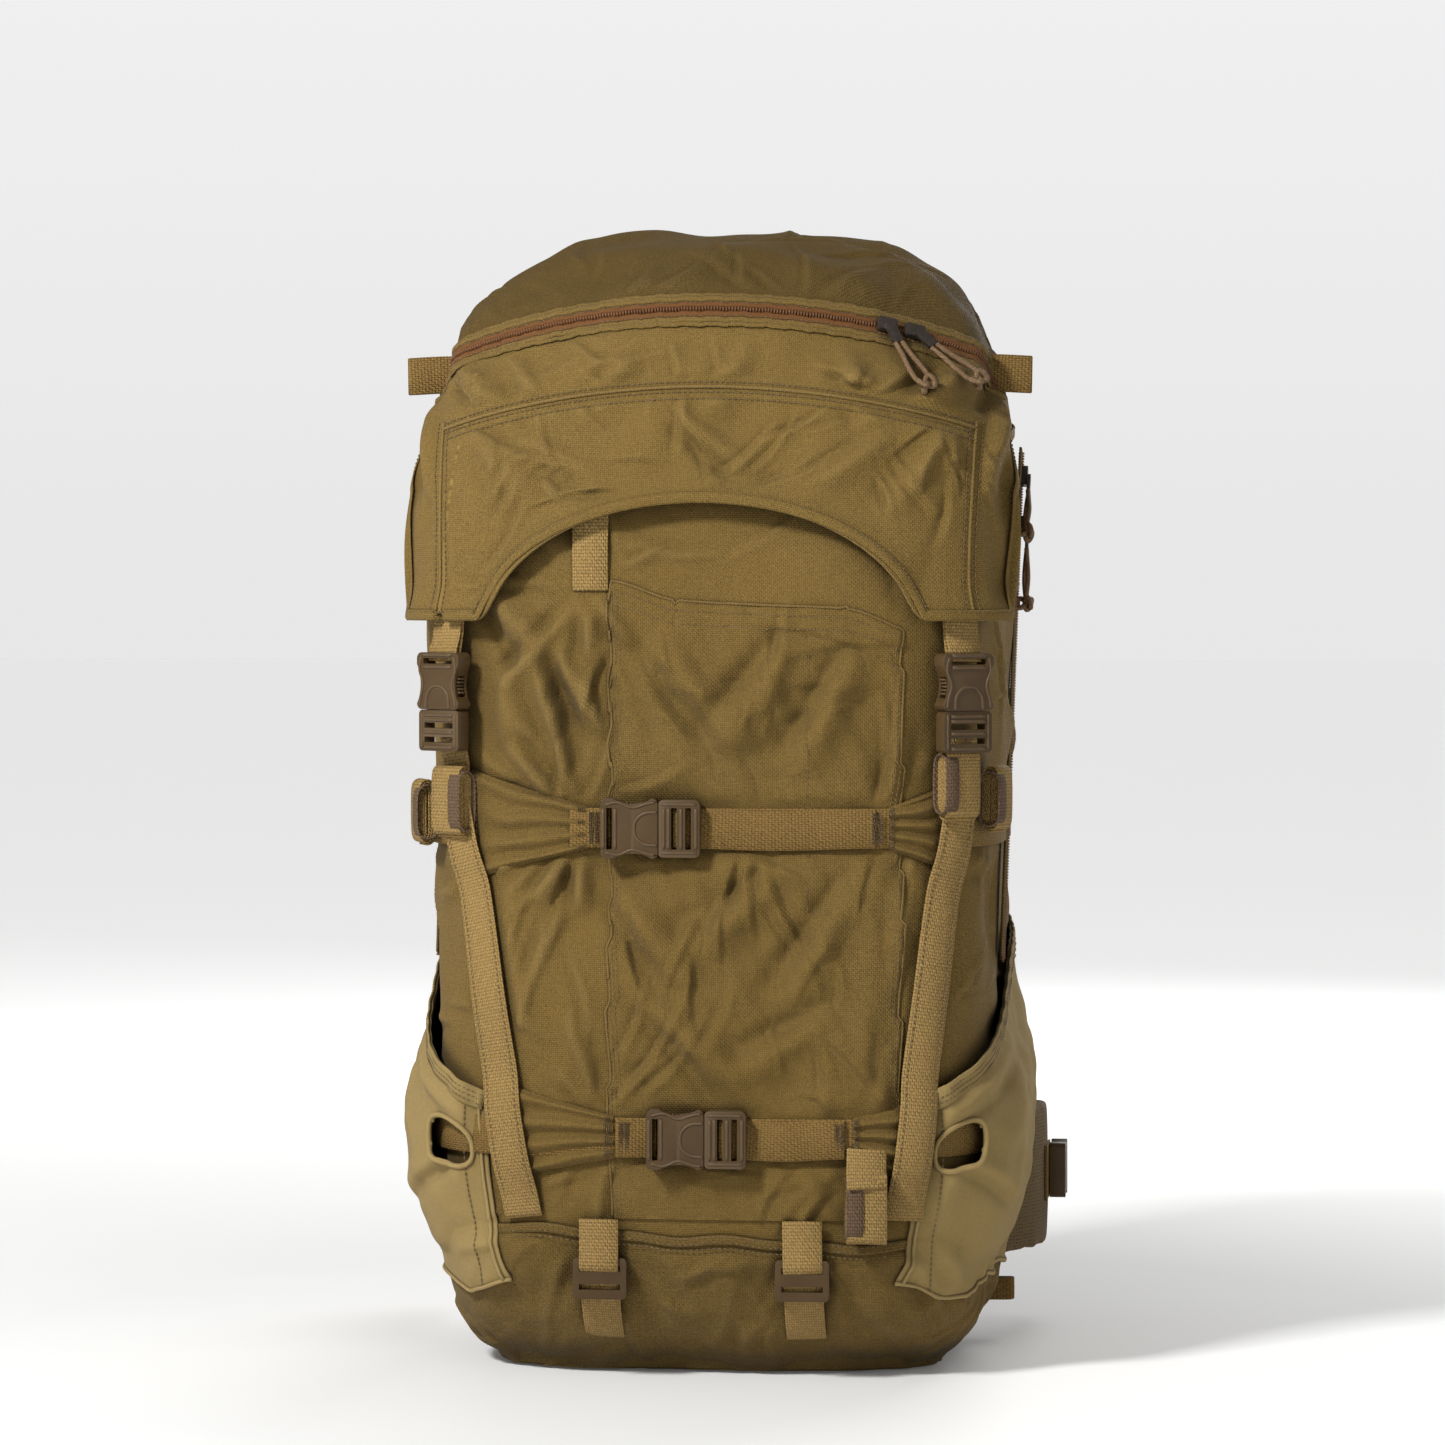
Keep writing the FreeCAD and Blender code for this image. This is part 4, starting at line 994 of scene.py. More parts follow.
def make_bag():
    """The loaded bag's cloth, filled out between its straps and seams."""
    height = np.linspace(3, 600, 118)
    turns = even_turns(232, 180, 140, BAG_POWER, closed=False)
    points, normals = bag_point(turns[:, None], height[None])
    _, y, z = np.moveaxis(points, -1, 0)
    ends = np.maximum(1 - smoothstep(z, 8, 60), smoothstep(z, 585, 598))
    zipped = np.maximum(near_zip(points, -1), near_zip(points, 1))
    loose = (1 - held_by_straps(points)) * (1 - smoothstep(y, 40, 68)) * (1 - ends) * (1 - 0.9 * zipped)
    move = 1.8 * ripple(points, 105, 1) + 1.1 * ripple(points * [1, 1, 0.55], 46, 2)
    view = points[..., [0, 2]]
    front = smoothstep(-y, 120, 170)
    move += front * 2.3 * folds(view, FRONT_FOLDS, sum(fan(view, *row) for row in FRONT_FANS))
    slanted = np.sin((y * 0.35 + z) / 15 + 1.4 * ripple(points, 120, 4))
    move += (1 - front) * (y < 60) * 2.2 * slanted * (0.5 + 0.5 * ripple(points, 90, 5))
    rings = points + normals * (loose * np.clip(move, -9, 11))[..., None]
    bag = Piece().grid(rings, closed=True).make("bag_cloth", CLOTH, "pack")
    simulate(bag, 1 - (loose.ravel() > 0.35) * loose.ravel(), 0.7, 0.05, 7.0, bend=0.15)
    refine(bag, 1)
    carve(bag, bag_creases)
    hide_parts("bag_shell")
    return bag


def face_on(x, z, half, depth, middle, power):
    """Points of a squircular wall's front at given x and height, with the way that they face."""
    share = np.clip(np.abs(x) / half, 0, 0.985)
    v = (1 - share**power) ** (1 / power)
    n = unit(np.stack([np.sign(x) * share ** (power - 1) / half, -(v ** (power - 1)) / depth, 0 * x], -1))
    return np.stack([np.sign(x) * share * half, middle - depth * v, z], -1), n


def front_view(x, z):
    """Points of the bag's packed front at given x and height, with the way that they face."""
    x, z = np.broadcast_arrays(np.asarray(x, float), np.asarray(z, float))
    half, depth = dense(BAG, z.ravel()).T.reshape(2, *z.shape)
    return face_on(x, z, half, depth / 2, BACK_Y - depth / 2, BAG_POWER)


def panel_grid(columns, rows):
    """Where the front pocket's panel lies, by x and height."""
    u, v = np.meshgrid(np.linspace(0, 1, columns), np.linspace(0, 1, rows), indexing="ij")
    first = PANEL_BOTTOM_Z + v * (488 - PANEL_BOTTOM_Z)
    x = read(PANEL_LEFT, first) * (1 - u) + read(PANEL_RIGHT, first) * u
    top = read(PANEL_TOP, x, key=0)
    return x, PANEL_BOTTOM_Z + v * (top - PANEL_BOTTOM_Z)


def make_front_pocket(ground):
    """The front pocket: a panel sewn on round its edge, with its seams and stitching."""
    x, z = panel_grid(130, 190)
    points, normals = front_view(x, z)
    laid = ground.lay(points, normals, 1.6)
    edge = np.minimum.reduce([x - x[:1], x[-1:] - x, z - z[:, :1], z[:, -1:] - z])
    loose = smoothstep(edge, 1, 26) * (1 - held_by_straps(points, 13, 22))
    fine = 0.8 * ripple(points, 34, 11) + 0.55 * ripple(points, 17, 12)
    gathers = np.exp(-edge / 9) * 0.8 * np.sin((x + z) / 4.2 + 2 * ripple(points, 60, 13))
    tucks = gathers * (edge > 0.5) * (1 - held_by_straps(points, 13, 20))
    laid += normals * (loose * (fine + 1.4) + tucks)[..., None]
    laid[0], laid[-1] = laid[0] - normals[0] * 1.4, laid[-1] - normals[-1] * 1.4
    laid[:, -1] -= normals[:, -1] * 1.4
    small = crumple(
        np.stack([x, z], -1), 91, 70, (-90, 120), (130, 490),
        FRONT_PULLS, (12, 50), (1.4, 3.0), (0.7, 1.9), 30,
    )
    laid += normals * (small * loose)[..., None]
    panel = Piece().grid(laid, flip=True).make("front_pocket_panel", PANEL_CLOTH, "pack")
    refine(panel, 1)
    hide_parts("front_pocket")
    sew_front_pocket(laid, normals)


def sew_front_pocket(laid, normals):
    """The panel's piped rim, two rows of stitches inside it, and one down the middle."""
    rim, out = (np.vstack([rows[0], rows[1:, -1], rows[-1, -2::-1]]) for rows in (laid, normals))
    piping = Piece().tube(smooth_path(rim + out * 0.3, 420), 1.0, 6)
    piping.make("front_pocket_seam", PANEL_CLOTH, "pack")
    threads = Piece()
    for k in (2, 4):
        line, out = (
            np.vstack([rows[k], rows[k:-k, -k * 2], rows[-k - 1, -2 * k - 1 :: -1]])
            for rows in (laid, normals)
        )
        threads.stitches(smooth_path(line[::3], 500), smooth_path(out[::3], 500))
    middle = 88
    threads.stitches(smooth_path(laid[middle, 95:186:4], 120), normals[middle, 100], pitch=4.2)
    threads.make("front_pocket_stitches", THREAD, "pack", smooth=False)


BASE_FOOT_Z = 1.5
# a seed, the axes of a view, its corners, and the part of the normal that faces it, with its sign
BASE_VIEWS = [
    (121, [0, 2], (-160, 10), (160, 95), 1, -1),
    (122, [1, 2], (-180, 10), (50, 95), 0, 1),
    (123, [1, 2], (-180, 10), (50, 95), 0, -1),
]
BASE_PULLS = [(-64, 130), (64, 130), (-150, -20), (150, -20), (0, -30)]


def base_wall(ground):
    """The cup's wall, slumped and creased and kept off the bag, with the way that it faces."""
    t = even_turns(300, 170, 135, BAG_POWER, closed=False)
    v = np.linspace(0, 1, 40)
    x, y, _ = bag_point(t, np.full_like(t, 95.0))[0].T
    seam_z = np.interp(x, *zip(*BASE_SEAM)) + 1.6 * np.sin(x / 23) + np.sin(x / 9)
    seam_z = np.where(y < 60, seam_z, 60)
    z = BASE_FOOT_Z + v[None] * (seam_z[:, None] - BASE_FOOT_Z)
    points, normals = bag_point(t[:, None], z)
    under = seam_z[:, None] - z
    cover = ((ground.lay(points, normals, 1.3) - points) * normals).sum(-1)
    loose = (points[..., 1] < 60) * smoothstep(under, 0, 16)
    uneven = 2.6 * ripple(points, 85, 21) + 0.9 * ripple(points, 30, 22)
    off = 0.8 + 3.0 * smoothstep(under, 0, 18) + loose * uneven
    for seed, view, low, high, axis, sign in BASE_VIEWS:
        marks = crumple(
            points[..., view], seed, 50, low, high, BASE_PULLS, (26, 84), (2.8, 6.0), (1.6, 4.2), 20
        )
        off = off + loose * marks * smoothstep(sign * normals[..., axis], 0.4, 0.8)
    off = np.maximum(off, np.where(z > 12, cover, off))
    off = off - 7.0 * (1 - smoothstep(z, 0, 24)) ** 2
    points = points + normals * np.clip(off, -8, 9)[..., None]
    points[..., 1] = np.minimum(points[..., 1], BACK_Y + 0.4)
    return points, normals


def make_base(ground):
    """The heavier cup of cloth round the foot of the bag, with its taped seam."""
    points, normals = base_wall(ground)
    cup = Piece().grid(points, closed=True)
    low = points[:, 0]
    shrink = np.linspace(1, 0.02, 12)[None, :, None]
    underside = low.mean(0) + (low[:, None] - low.mean(0)) * shrink
    underside[..., 2] = BASE_FOOT_Z - 1.2 * np.sin(np.linspace(0, 1, 12) * math.pi / 2)[None]
    cup.grid(underside, closed=True, flip=True)
    cup = cup.make("base_cup", BASE_CLOTH, "pack")
    refine(cup, 1)
    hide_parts("base_panel")
    rim, out = (np.vstack([rows[:, -1], rows[:1, -1]]) for rows in (points, normals))
    front = rim[:, 1] < 66
    Piece().strip(rim - UP * 2.6 + out * 0.2, out, 6.4, 1.1).make("base_seam_tape", BASE_CLOTH, "pack")
    threads = Piece()
    for drop in (1.0, 4.4, 8.0):
        line = (rim + out * 0.9 - UP * drop)[front]
        order = np.argsort(np.arctan2(line[:, 0], -(line[:, 1] + 60)))
        threads.stitches(smooth_path(line[order][::3], 600), smooth_path(out[front][order][::3], 600))
    threads.make("base_stitches", THREAD, "pack", smooth=False)
    return cup


# ---- the stretch side pockets -------------------------------------------------------------------
POCKET_HALF = (204, 149)
POCKET_POWER = 3.2
POCKET_FOOT_Z = 66
POCKET_FRONT_X = 138.0
POCKET_CELLS = (96, 56)
# the strap opening's middle and half size, counted in the pocket's own cells
OPENING, OPENING_HALF, OPENING_POWER = (7.8, 36.5), (5.0, 6.0), 2.6
FOLD_SCALE = 150  # millimetres of a flattened pocket to a radian


def bag_front_y(x, z):
    """Where the bag's packed front lies at given x and height."""
    a, depth = dense(BAG, np.ravel(z)).T
    a, b = a.reshape(np.shape(z)), depth.reshape(np.shape(z)) / 2
    return BACK_Y - b - b * (1 - np.clip(np.abs(x) / a, 0, 1) ** BAG_POWER) ** (1 / BAG_POWER)


def pocket_plan(t):
    """The side pocket's rough plan."""
    return squircle(t, *POCKET_HALF, 72 - POCKET_HALF[1], POCKET_POWER)


def pocket_turns():
    """The plan angles of a side pocket's columns, from its front seam to the back."""
    t = np.linspace(-math.pi / 2, math.pi / 2, 1001)
    x, y = pocket_plan(t)
    front = t < -0.4
    start = float(np.interp(POCKET_FRONT_X, x[front], t[front]))
    return np.linspace(start, float(np.interp(66.0, y, t)), POCKET_CELLS[0])


def pocket_surface(side, ground):
    """A side pocket's points, which stand off the bag but hug it at the mouth, and the way they face."""
    t = pocket_turns()
    start = t[0]
    v = np.linspace(0, 1, POCKET_CELLS[1])
    mouth = np.interp(pocket_plan(t)[1], *zip(*POCKET_MOUTH))
    z = POCKET_FOOT_Z + v[None] * (mouth[:, None] - POCKET_FOOT_Z)
    a, b = dense(POCKET, z.ravel()).T.reshape(2, *z.shape)
    x, y = squircle(t[:, None], a, b, BACK_Y - 3 - b, POCKET_POWER)
    near = smoothstep(t - start, 0, 0.16)[:, None]
    y = bag_front_y(x, z) * (1 - near) + y * near - 1.2
    bag_half, depth = dense(BAG, z.ravel()).T.reshape(2, *z.shape)
    hug_x, hug_y = squircle(t[:, None], bag_half + 5, depth / 2 + 5, BACK_Y - depth / 2, BAG_POWER)
    hug = (smoothstep(v, 0.55, 1.0) * 0.92)[None] * smoothstep(t, start, start + 0.2)[:, None]
    points = np.stack([x * (1 - hug) + hug_x * hug, y * (1 - hug) + np.minimum(hug_y, y + 12) * hug, z], -1)
    normals = unit(np.cross(np.gradient(points, axis=0), np.gradient(points, axis=1)))
    top = np.exp(-(1 - v[None]) * 8)
    gathers = top * 0.45 * np.sin(t[:, None] * 62 + 1.5 * ripple(points, 90, 31))
    loose = 1.5 * ripple(points * [1, 1, 0.45], 48, 32) + 0.8 * ripple(points, 24, 33)
    first = start * FOLD_SCALE + 8
    down = folds(np.stack([t[:, None] * FOLD_SCALE + 0 * z, z], -1), [
        ((first, LOW_Z + 8), (start * FOLD_SCALE + 110, LOW_Z + 62), 8, 4.0),
        ((first, LOW_Z - 6), (start * FOLD_SCALE + 96, LOW_Z - 46), 8, 4.0),
    ])
    edge = smoothstep(v[None], 0, 0.12) * near
    points += normals * (edge * (gathers + loose * (1 - top) + down))[..., None]
    mirror = np.array([side, 1, 1])
    points, normals = points * mirror, normals * mirror
    for _ in range(2):
        cover = ((ground.lay(points, normals, 2.2) - points) * normals).sum(-1)
        points = points + normals * np.clip(cover, 0, 9)[..., None]
    return points, normals


def read_grid(points, i, j):
    """Places between a grid's points, at fractions of its rows and columns."""
    i0, j0 = i.astype(int), j.astype(int)
    fi, fj = (i - i0)[:, None], (j - j0)[:, None]
    near = points[i0, j0] * (1 - fi) * (1 - fj) + points[i0 + 1, j0] * fi * (1 - fj)
    return near + points[i0, j0 + 1] * (1 - fi) * fj + points[i0 + 1, j0 + 1] * fi * fj


def make_side_pocket(side, ground):
    """A stretch pocket, gathered by elastic in its sloping mouth, with an opening for the lower strap."""
    points, normals = pocket_surface(side, ground)
    name = "right" if side > 0 else "left"
    i, j = np.meshgrid(*(np.arange(n - 1) + 0.5 for n in POCKET_CELLS), indexing="ij")
    off = [np.abs(c - middle) / half for c, middle, half in zip((i, j), OPENING, OPENING_HALF)]
    hole = off[0] ** OPENING_POWER + off[1] ** OPENING_POWER < 1
    piece = Piece().grid(points, flip=side < 0)
    piece.faces = [f for f, gone in zip(piece.faces, hole.ravel()) if not gone]
    piece = piece.make(f"{name}_stretch_pocket_cloth", STRETCH_CLOTH, "pack")
    turn = np.linspace(0, 2 * math.pi, 60, endpoint=False)
    ci, cj = squircle(turn, OPENING_HALF[0] + 0.25, OPENING_HALF[1] + 0.25, OPENING[1], OPENING_POWER)
    binding = Piece().tube(read_grid(points, ci + OPENING[0], cj), 1.9, 8, closed=True)
    binding.make(f"{name}_pocket_opening", STRETCH_CLOTH, "pack")
    refine(piece, 1, solid=1.4 * MM)
    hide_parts(f"{name}_stretch_pocket")
    sew_side_pocket(name, points, normals)


def sew_side_pocket(name, points, normals):
    """A side pocket's hem, stitches, and piping up its front and along its foot."""
    hem, out = points[:, -1], normals[:, -1]
    way = unit(points[:, -1] - points[:, -2])
    tape = Piece().strip(hem - way * 5.5 + out * 0.6, out, 13, 1.6)
    tape.make(f"{name}_pocket_hem", STRETCH_CLOTH, "pack")
    threads = Piece()
    for drop in (2.2, 5.5, 9.0):
        threads.stitches(hem - way * drop + out * 1.5, out, pitch=3.2)
    threads.stitches(points[4] + normals[4] * 0.5, normals[4])
    threads.make(f"{name}_pocket_stitches", THREAD, "pack", smooth=False)
    piping = Piece().tube(points[1] + normals[1] * 0.6, 1.3, 6)
    piping.tube(smooth_path(points[:, 0] + normals[:, 1] * 0.3, 120), 1.5, 6)
    piping.make(f"{name}_pocket_piping", STRETCH_CLOTH, "pack")


# ---- the collar ---------------------------------------------------------------------------------
def make_collar():
    """The gathered collar under the lid, with its drawcord."""
    t = even_turns(260, 160, 120, BAG_POWER, closed=False)
    z = np.linspace(573, 646, 26)
    a, depth, middle = dense(COLLAR, z).T
    x, y = squircle(t[:, None], a[None], depth[None] / 2, middle[None], BAG_POWER)
    points = np.stack(np.broadcast_arrays(x, y, z[None]), -1)
    outwards = unit(np.stack([x, y + 50, 0 * x], -1))
    around = np.linspace(0, 2 * math.pi, len(t), endpoint=False)[:, None]
    tight = np.exp(-(((z - 631) / 13) ** 2))[None]
    gathers = np.sin(around * 46 + 1.6 * np.sin(around * 7)) * (0.8 + 1.9 * tight)
    points += outwards * (gathers - 1.5 * tight - 1.2)[..., None]
    cloth = Piece().grid(points, closed=True).make("collar_cloth", LINING, "pack")
    refine(cloth, 1, solid=1.2 * MM)
    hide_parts("collar")
    ring = points[:, 20] + outwards[:, 20] * 3.2
    ring[:, 2] = 631.5
    at_lock = (np.abs(ring[:, 0]) < 7) & (ring[:, 1] < 0)
    ring = np.roll(ring, -int(np.argmax(at_lock)), axis=0)
    cord = Piece().tube(smooth_path(ring[::3], 320), 1.6, 8, closed=True)
    cord = cord.make("collar_cord", CORD, "pack")
    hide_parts("collar_drawcord")


# ---- the lid ------------------------------------------------------------------------------------
LID_CELLS = 52  # cells along each side of the dome's square net
LID_ROWS = 34  # rows up the wall below it
LID_PLAN = (195, 148, -67, 4.0)
LID_EDGE_Z = 480
LID_FRONT_Y = -158
FLAP_SEAM = (166, 0.03)  # the corner seams' x at the lid's edge, and their lean
DOME_Z = 640.0
LID_SIDE_EDGE = [(-158, 480), (-138, 560), (-118, 592), (40, 606), (90, 606)]
LID_ARCH = (134.0, 470.0, 84.0)


def lid_section(z):
    """The lid's half width, front y, back y and plan power at some heights."""
    return dense(LID, np.ravel(z)).T.reshape(4, *np.shape(z))


def lid_wall(t, z):
    """Points of the lid's packed wall at plan angles and heights."""
    a, front, back, power = lid_section(z)
    x, y = squircle(t, a, (back - front) / 2, (back + front) / 2, power)
    return np.stack([x, y, z], -1)


def lid_turns():
    """The plan angles of the lid's columns, from its front left corner."""
    turns = even_turns(4 * LID_CELLS, 180, 135, 3.0, closed=False)
    return turns - math.radians(135) - turns[0]


def lid_profile():
    """The dome from shoulder to middle: how far along, half width, front y, back y, power and height."""
    z = np.concatenate([np.linspace(DOME_Z, 712, 24), np.linspace(714, 730, 14)])
    rows = np.column_stack([*lid_section(z), z])
    q = np.linspace(0, 1, 14)[1:]
    crown = 730 + 1.2 * q * (2 - q)
    flat = np.column_stack([60 * (1 - q), -29 - 29 * (1 - q), -29 + 29 * (1 - q), 0 * q + 2.2, crown])
    rows = np.vstack([rows, flat])
    run = np.concatenate([[0], np.cumsum(np.hypot(np.diff(rows[:, 0]), np.diff(rows[:, 4])))])
    return run / run[-1], rows


def dome(cells, turns):
    """A square net drawn over the dome, whose rim meets the columns below it."""
    u, v = np.meshgrid(np.linspace(-1, 1, cells + 1), np.linspace(-1, 1, cells + 1), indexing="ij")
    r = np.maximum(np.abs(u), np.abs(v))
    safe = np.where(r < 1e-9, 1, r)
    p, q = u / safe, v / safe
    sides = [v <= -r + 1e-9, u >= r - 1e-9, v >= r - 1e-9]
    place = np.select(sides, [(p + 1) / 2, 1 + (q + 1) / 2, 2 + (1 - p) / 2], 3 + (1 - q) / 2) * cells
    t = np.interp(place, np.arange(4 * cells + 1), np.append(turns, turns[0] + 2 * math.pi))
    run, rows = lid_profile()
    a, front, back, power, z = (np.interp(1 - r, run, rows[:, k]) for k in range(5))
    x, y = squircle(t, a, (back - front) / 2, (back + front) / 2, power)
    return np.stack([x, y, z], -1)


def lid_edge(x, y):
    """Height of the lid's lower edge at a place round it."""
    half, base, height = LID_ARCH
    arch = base + height * np.sqrt(np.clip(1 - (x / half) ** 2, 0, 1))
    front = LID_EDGE_Z + 4 * np.logaddexp(0, (arch - LID_EDGE_Z) / 4)
    return np.where(y < LID_FRONT_Y, front, np.interp(y, *zip(*LID_SIDE_EDGE)))


def zip_height(points):
    """How far points are above the lid zip's plane, how far round it, and their distance from its centre."""
    v = points - ZIP_CENTRE
    back = v @ ZIP_INWARD
    return v @ ZIP_AXIS, np.degrees(np.arctan2(v[..., 0], -back)), np.hypot(v[..., 0], back)


# both ends of a fold of the lid's front and shoulders, by x and height, its width and its height
LID_FOLDS = [
    ((-176, 655), (-118, 600), 8, 4.2),
    ((-186, 632), (-172, 556), 8, 4.5),
    ((-172, 560), (-150, 492), 8, 4.0),
    ((-128, 648), (-96, 604), 8, 3.2),
    ((-40, 652), (-70, 606), 9, 2.6),
    ((30, 655), (4, 604), 9, 2.4),
    ((86, 650), (112, 602), 9, 3.2),
    ((176, 655), (126, 604), 8, 4.2),
    ((186, 640), (174, 560), 8, 4.5),
    ((168, 566), (150, 492), 8, 4.0),
    ((-150, 600), (-104, 548), 7, 3.4),
    ((-120, 596), (-60, 566), 7, 3.0),
    ((-20, 612), (36, 572), 8, 2.8),
    ((120, 598), (72, 562), 7, 3.2),
    ((152, 600), (112, 540), 7, 3.4),
]


def lid_net():
    """The lid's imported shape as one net: columns up its wall, which meet the dome's square net."""
    turns = lid_turns()
    n, m = len(turns), LID_CELLS + 1
    low = lid_edge(*squircle(turns, *LID_PLAN))[:, None]
    z = low + np.linspace(0, 1, LID_ROWS)[None] * (DOME_Z - low)
    faces = []
    for i in range(n):
        here, there = i * LID_ROWS, (i + 1) % n * LID_ROWS
        faces += [[here + k, there + k, there + k + 1, here + k + 1] for k in range(LID_ROWS - 1)]
    ring = [(k, 0) for k in range(m - 1)] + [(m - 1, k) for k in range(m - 1)]
    ring += [(k, m - 1) for k in range(m - 1, 0, -1)] + [(0, k) for k in range(m - 1, 0, -1)]
    index = {key: (k + 1) * LID_ROWS - 1 for k, key in enumerate(ring)}
    inner = [(i, j) for i in range(1, m - 1) for j in range(1, m - 1)]
    index.update({key: n * LID_ROWS + k for k, key in enumerate(inner)})
    for i in range(m - 1):
        for j in range(m - 1):
            faces.append([index[i, j], index[i + 1, j], index[i + 1, j + 1], index[i, j + 1]])
    top = dome(LID_CELLS, turns)
    wall = lid_wall(turns[:, None], z).reshape(-1, 3)
    return np.vstack([wall, [top[i, j] for i, j in inner]]), faces


def fill_lid(points, normal):
    """The lid's points drawn in along its zip and rippled where loose, and how firmly each is held."""
    height, angle, radius = zip_height(points)
    on_arc = (1 - smoothstep(np.abs(angle), 31, 38)) * (points[:, 1] < -20)
    pull = np.exp(-np.maximum(np.abs(height) - 6, 0) ** 2 / 19**2) * on_arc
    out = unit((points - ZIP_CENTRE) - np.outer(height, ZIP_AXIS))
    points = points + out * ((ZIP_RADIUS - 1.5 - radius) * pull)[:, None]
    edge = lid_edge(points[:, 0], points[:, 1])
    hem = 1 - smoothstep(points[:, 2] - edge, 2, 20)
    strap = np.zeros(len(points))
    for side in (-1, 1):
        at, _ = corner_point(500, CORNER_TURN, side, 7)
        away = np.linalg.norm((points - at) * [1, 1, 0.5], axis=1)
        strap = np.maximum(strap, 1 - smoothstep(away, 16, 40))
    held = np.maximum.reduce([hem, pull * (np.abs(height) < 16), lid_seam(points), strap])
    loose = 1 - np.clip(held, 0, 1)
    move = 2.0 * ripple(points, 95, 41) + 1.2 * ripple(points, 44, 42)
    move += 2.2 * folds(points[:, [0, 2]], LID_FOLDS) * smoothstep(-points[:, 1], 60, 130)
    above = smoothstep(height, 4, 40) * (points[:, 2] > 655)
    move += above * 2.4 * ripple(points * [0.55, 1.3, 1], 60, 43)
    bell = np.exp(-((points[:, 2] - edge) / 16) ** 2) * smoothstep(-points[:, 1], 100, 150)
    return points + normal * (loose * np.clip(move, -7, 9) + 7.0 * bell)[:, None], held


def make_lid():
    """The domed lid: an upper panel behind the zip, a front panel and side flaps, filled by its contents."""
    points, faces = lid_net()
    base = Piece().add(points, faces).make("lid_cloth", LID_CLOTH, "lid")
    points, held = fill_lid(points, vertex_normals(base))
    move_to(base, points * MM)
    simulate(base, np.clip(held * 1.1, 0, 1), 0.8, 0.045, 6.0, bend=0.15)
    refine(base, 2)
    carve(base, lid_creases)
    refine(base, 0, solid=2.0 * MM)
    co = coordinates(base) / MM
    # the top behind and above the zip gets the darker copy of the lid cloth: painted shade on the top
    base.data.materials.append(SHADED_TOP_CLOTH)
    behind_zip = (zip_height(co)[0] > 0) & (co[:, 2] > 655 - 12 * (np.abs(co[:, 0]) > 165))
    upper = behind_zip | (co[:, 2] > 668)
    for face in base.data.polygons:
        if upper[list(face.vertices)].all():
            face.material_index = 1
    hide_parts("lid_shell")
    return base


LID_FRONT_PULLS = [(-168, 500), (168, 500), (-152, 640), (152, 640), (0, 560)]
LID_SIDE_PULLS = [(-101, 638), (-150, 500), (60, 610)]
LID_TOP_PULLS = [(-150, -60), (150, -60), (-70, -190), (70, -190), (-60, 70), (60, 70)]


def lid_creases(co, n):
    """The sharp creases of the lid's front, flaps and top."""
    height, angle, _ = zip_height(co)
    above_edge = co[:, 2] - lid_edge(co[:, 0], co[:, 1])
    on_arc = (1 - smoothstep(np.abs(angle), 34, 42)) * (co[:, 1] < -20)
    at_zip = on_arc * (1 - smoothstep(np.abs(height), 13, 22))
    free = (1 - lid_seam(co)) * smoothstep(above_edge, 4, 20) * (1 - at_zip)
    wide, tall = (2.4, 4.8), (1.2, 3.4)
    facing = smoothstep(-n[:, 1], 0.3, 0.75) * (height < 0)
    total = facing * crumple(
        co[:, [0, 2]], 101, 60, (-185, 500), (185, 660), LID_FRONT_PULLS, (22, 80), (2.2, 4.8), tall, 24
    )
    for side in (-1, 1):
        beside = smoothstep(side * n[:, 0], 0.45, 0.85) * (co[:, 2] < 690)
        total += beside * crumple(
            co[:, [1, 2]], 104 + side, 36, (-180, 520), (70, 680), LID_SIDE_PULLS, (18, 70), wide, tall, 24
        )
    above = smoothstep(n[:, 2], 0.25, 0.7) * (height > 0)
    total += above * crumple(
        co[:, [0, 1]], 111, 46, (-160, -170), (160, 60), LID_TOP_PULLS, (30, 100), (2.8, 6.0), (0.8, 2.6), 22
    )
    return total * free


def front_seam_z(x):
    """Height of the seam across the lid's front."""
    return 627 - 20 * (np.abs(x) / 150) ** 2


def flap_seam_x(z):
    """Where a corner seam runs at some height."""
    return FLAP_SEAM[0] + (z - LID_EDGE_Z) * FLAP_SEAM[1]


def lid_seam(points):
    """1 on the lid's sewn seams: across its front, and down each front corner."""
    x, y, z = np.abs(points[:, 0]), points[:, 1], points[:, 2]
    across = (y < -120) * (x < 168) * (1 - smoothstep(np.abs(z - front_seam_z(x)), 4, 11))
    corner = (np.abs(x - 168) < 30) * (z < 612) * (1 - smoothstep(np.abs(x - flap_seam_x(z)), 4, 10))
    return np.maximum(across, corner * (y < -120))


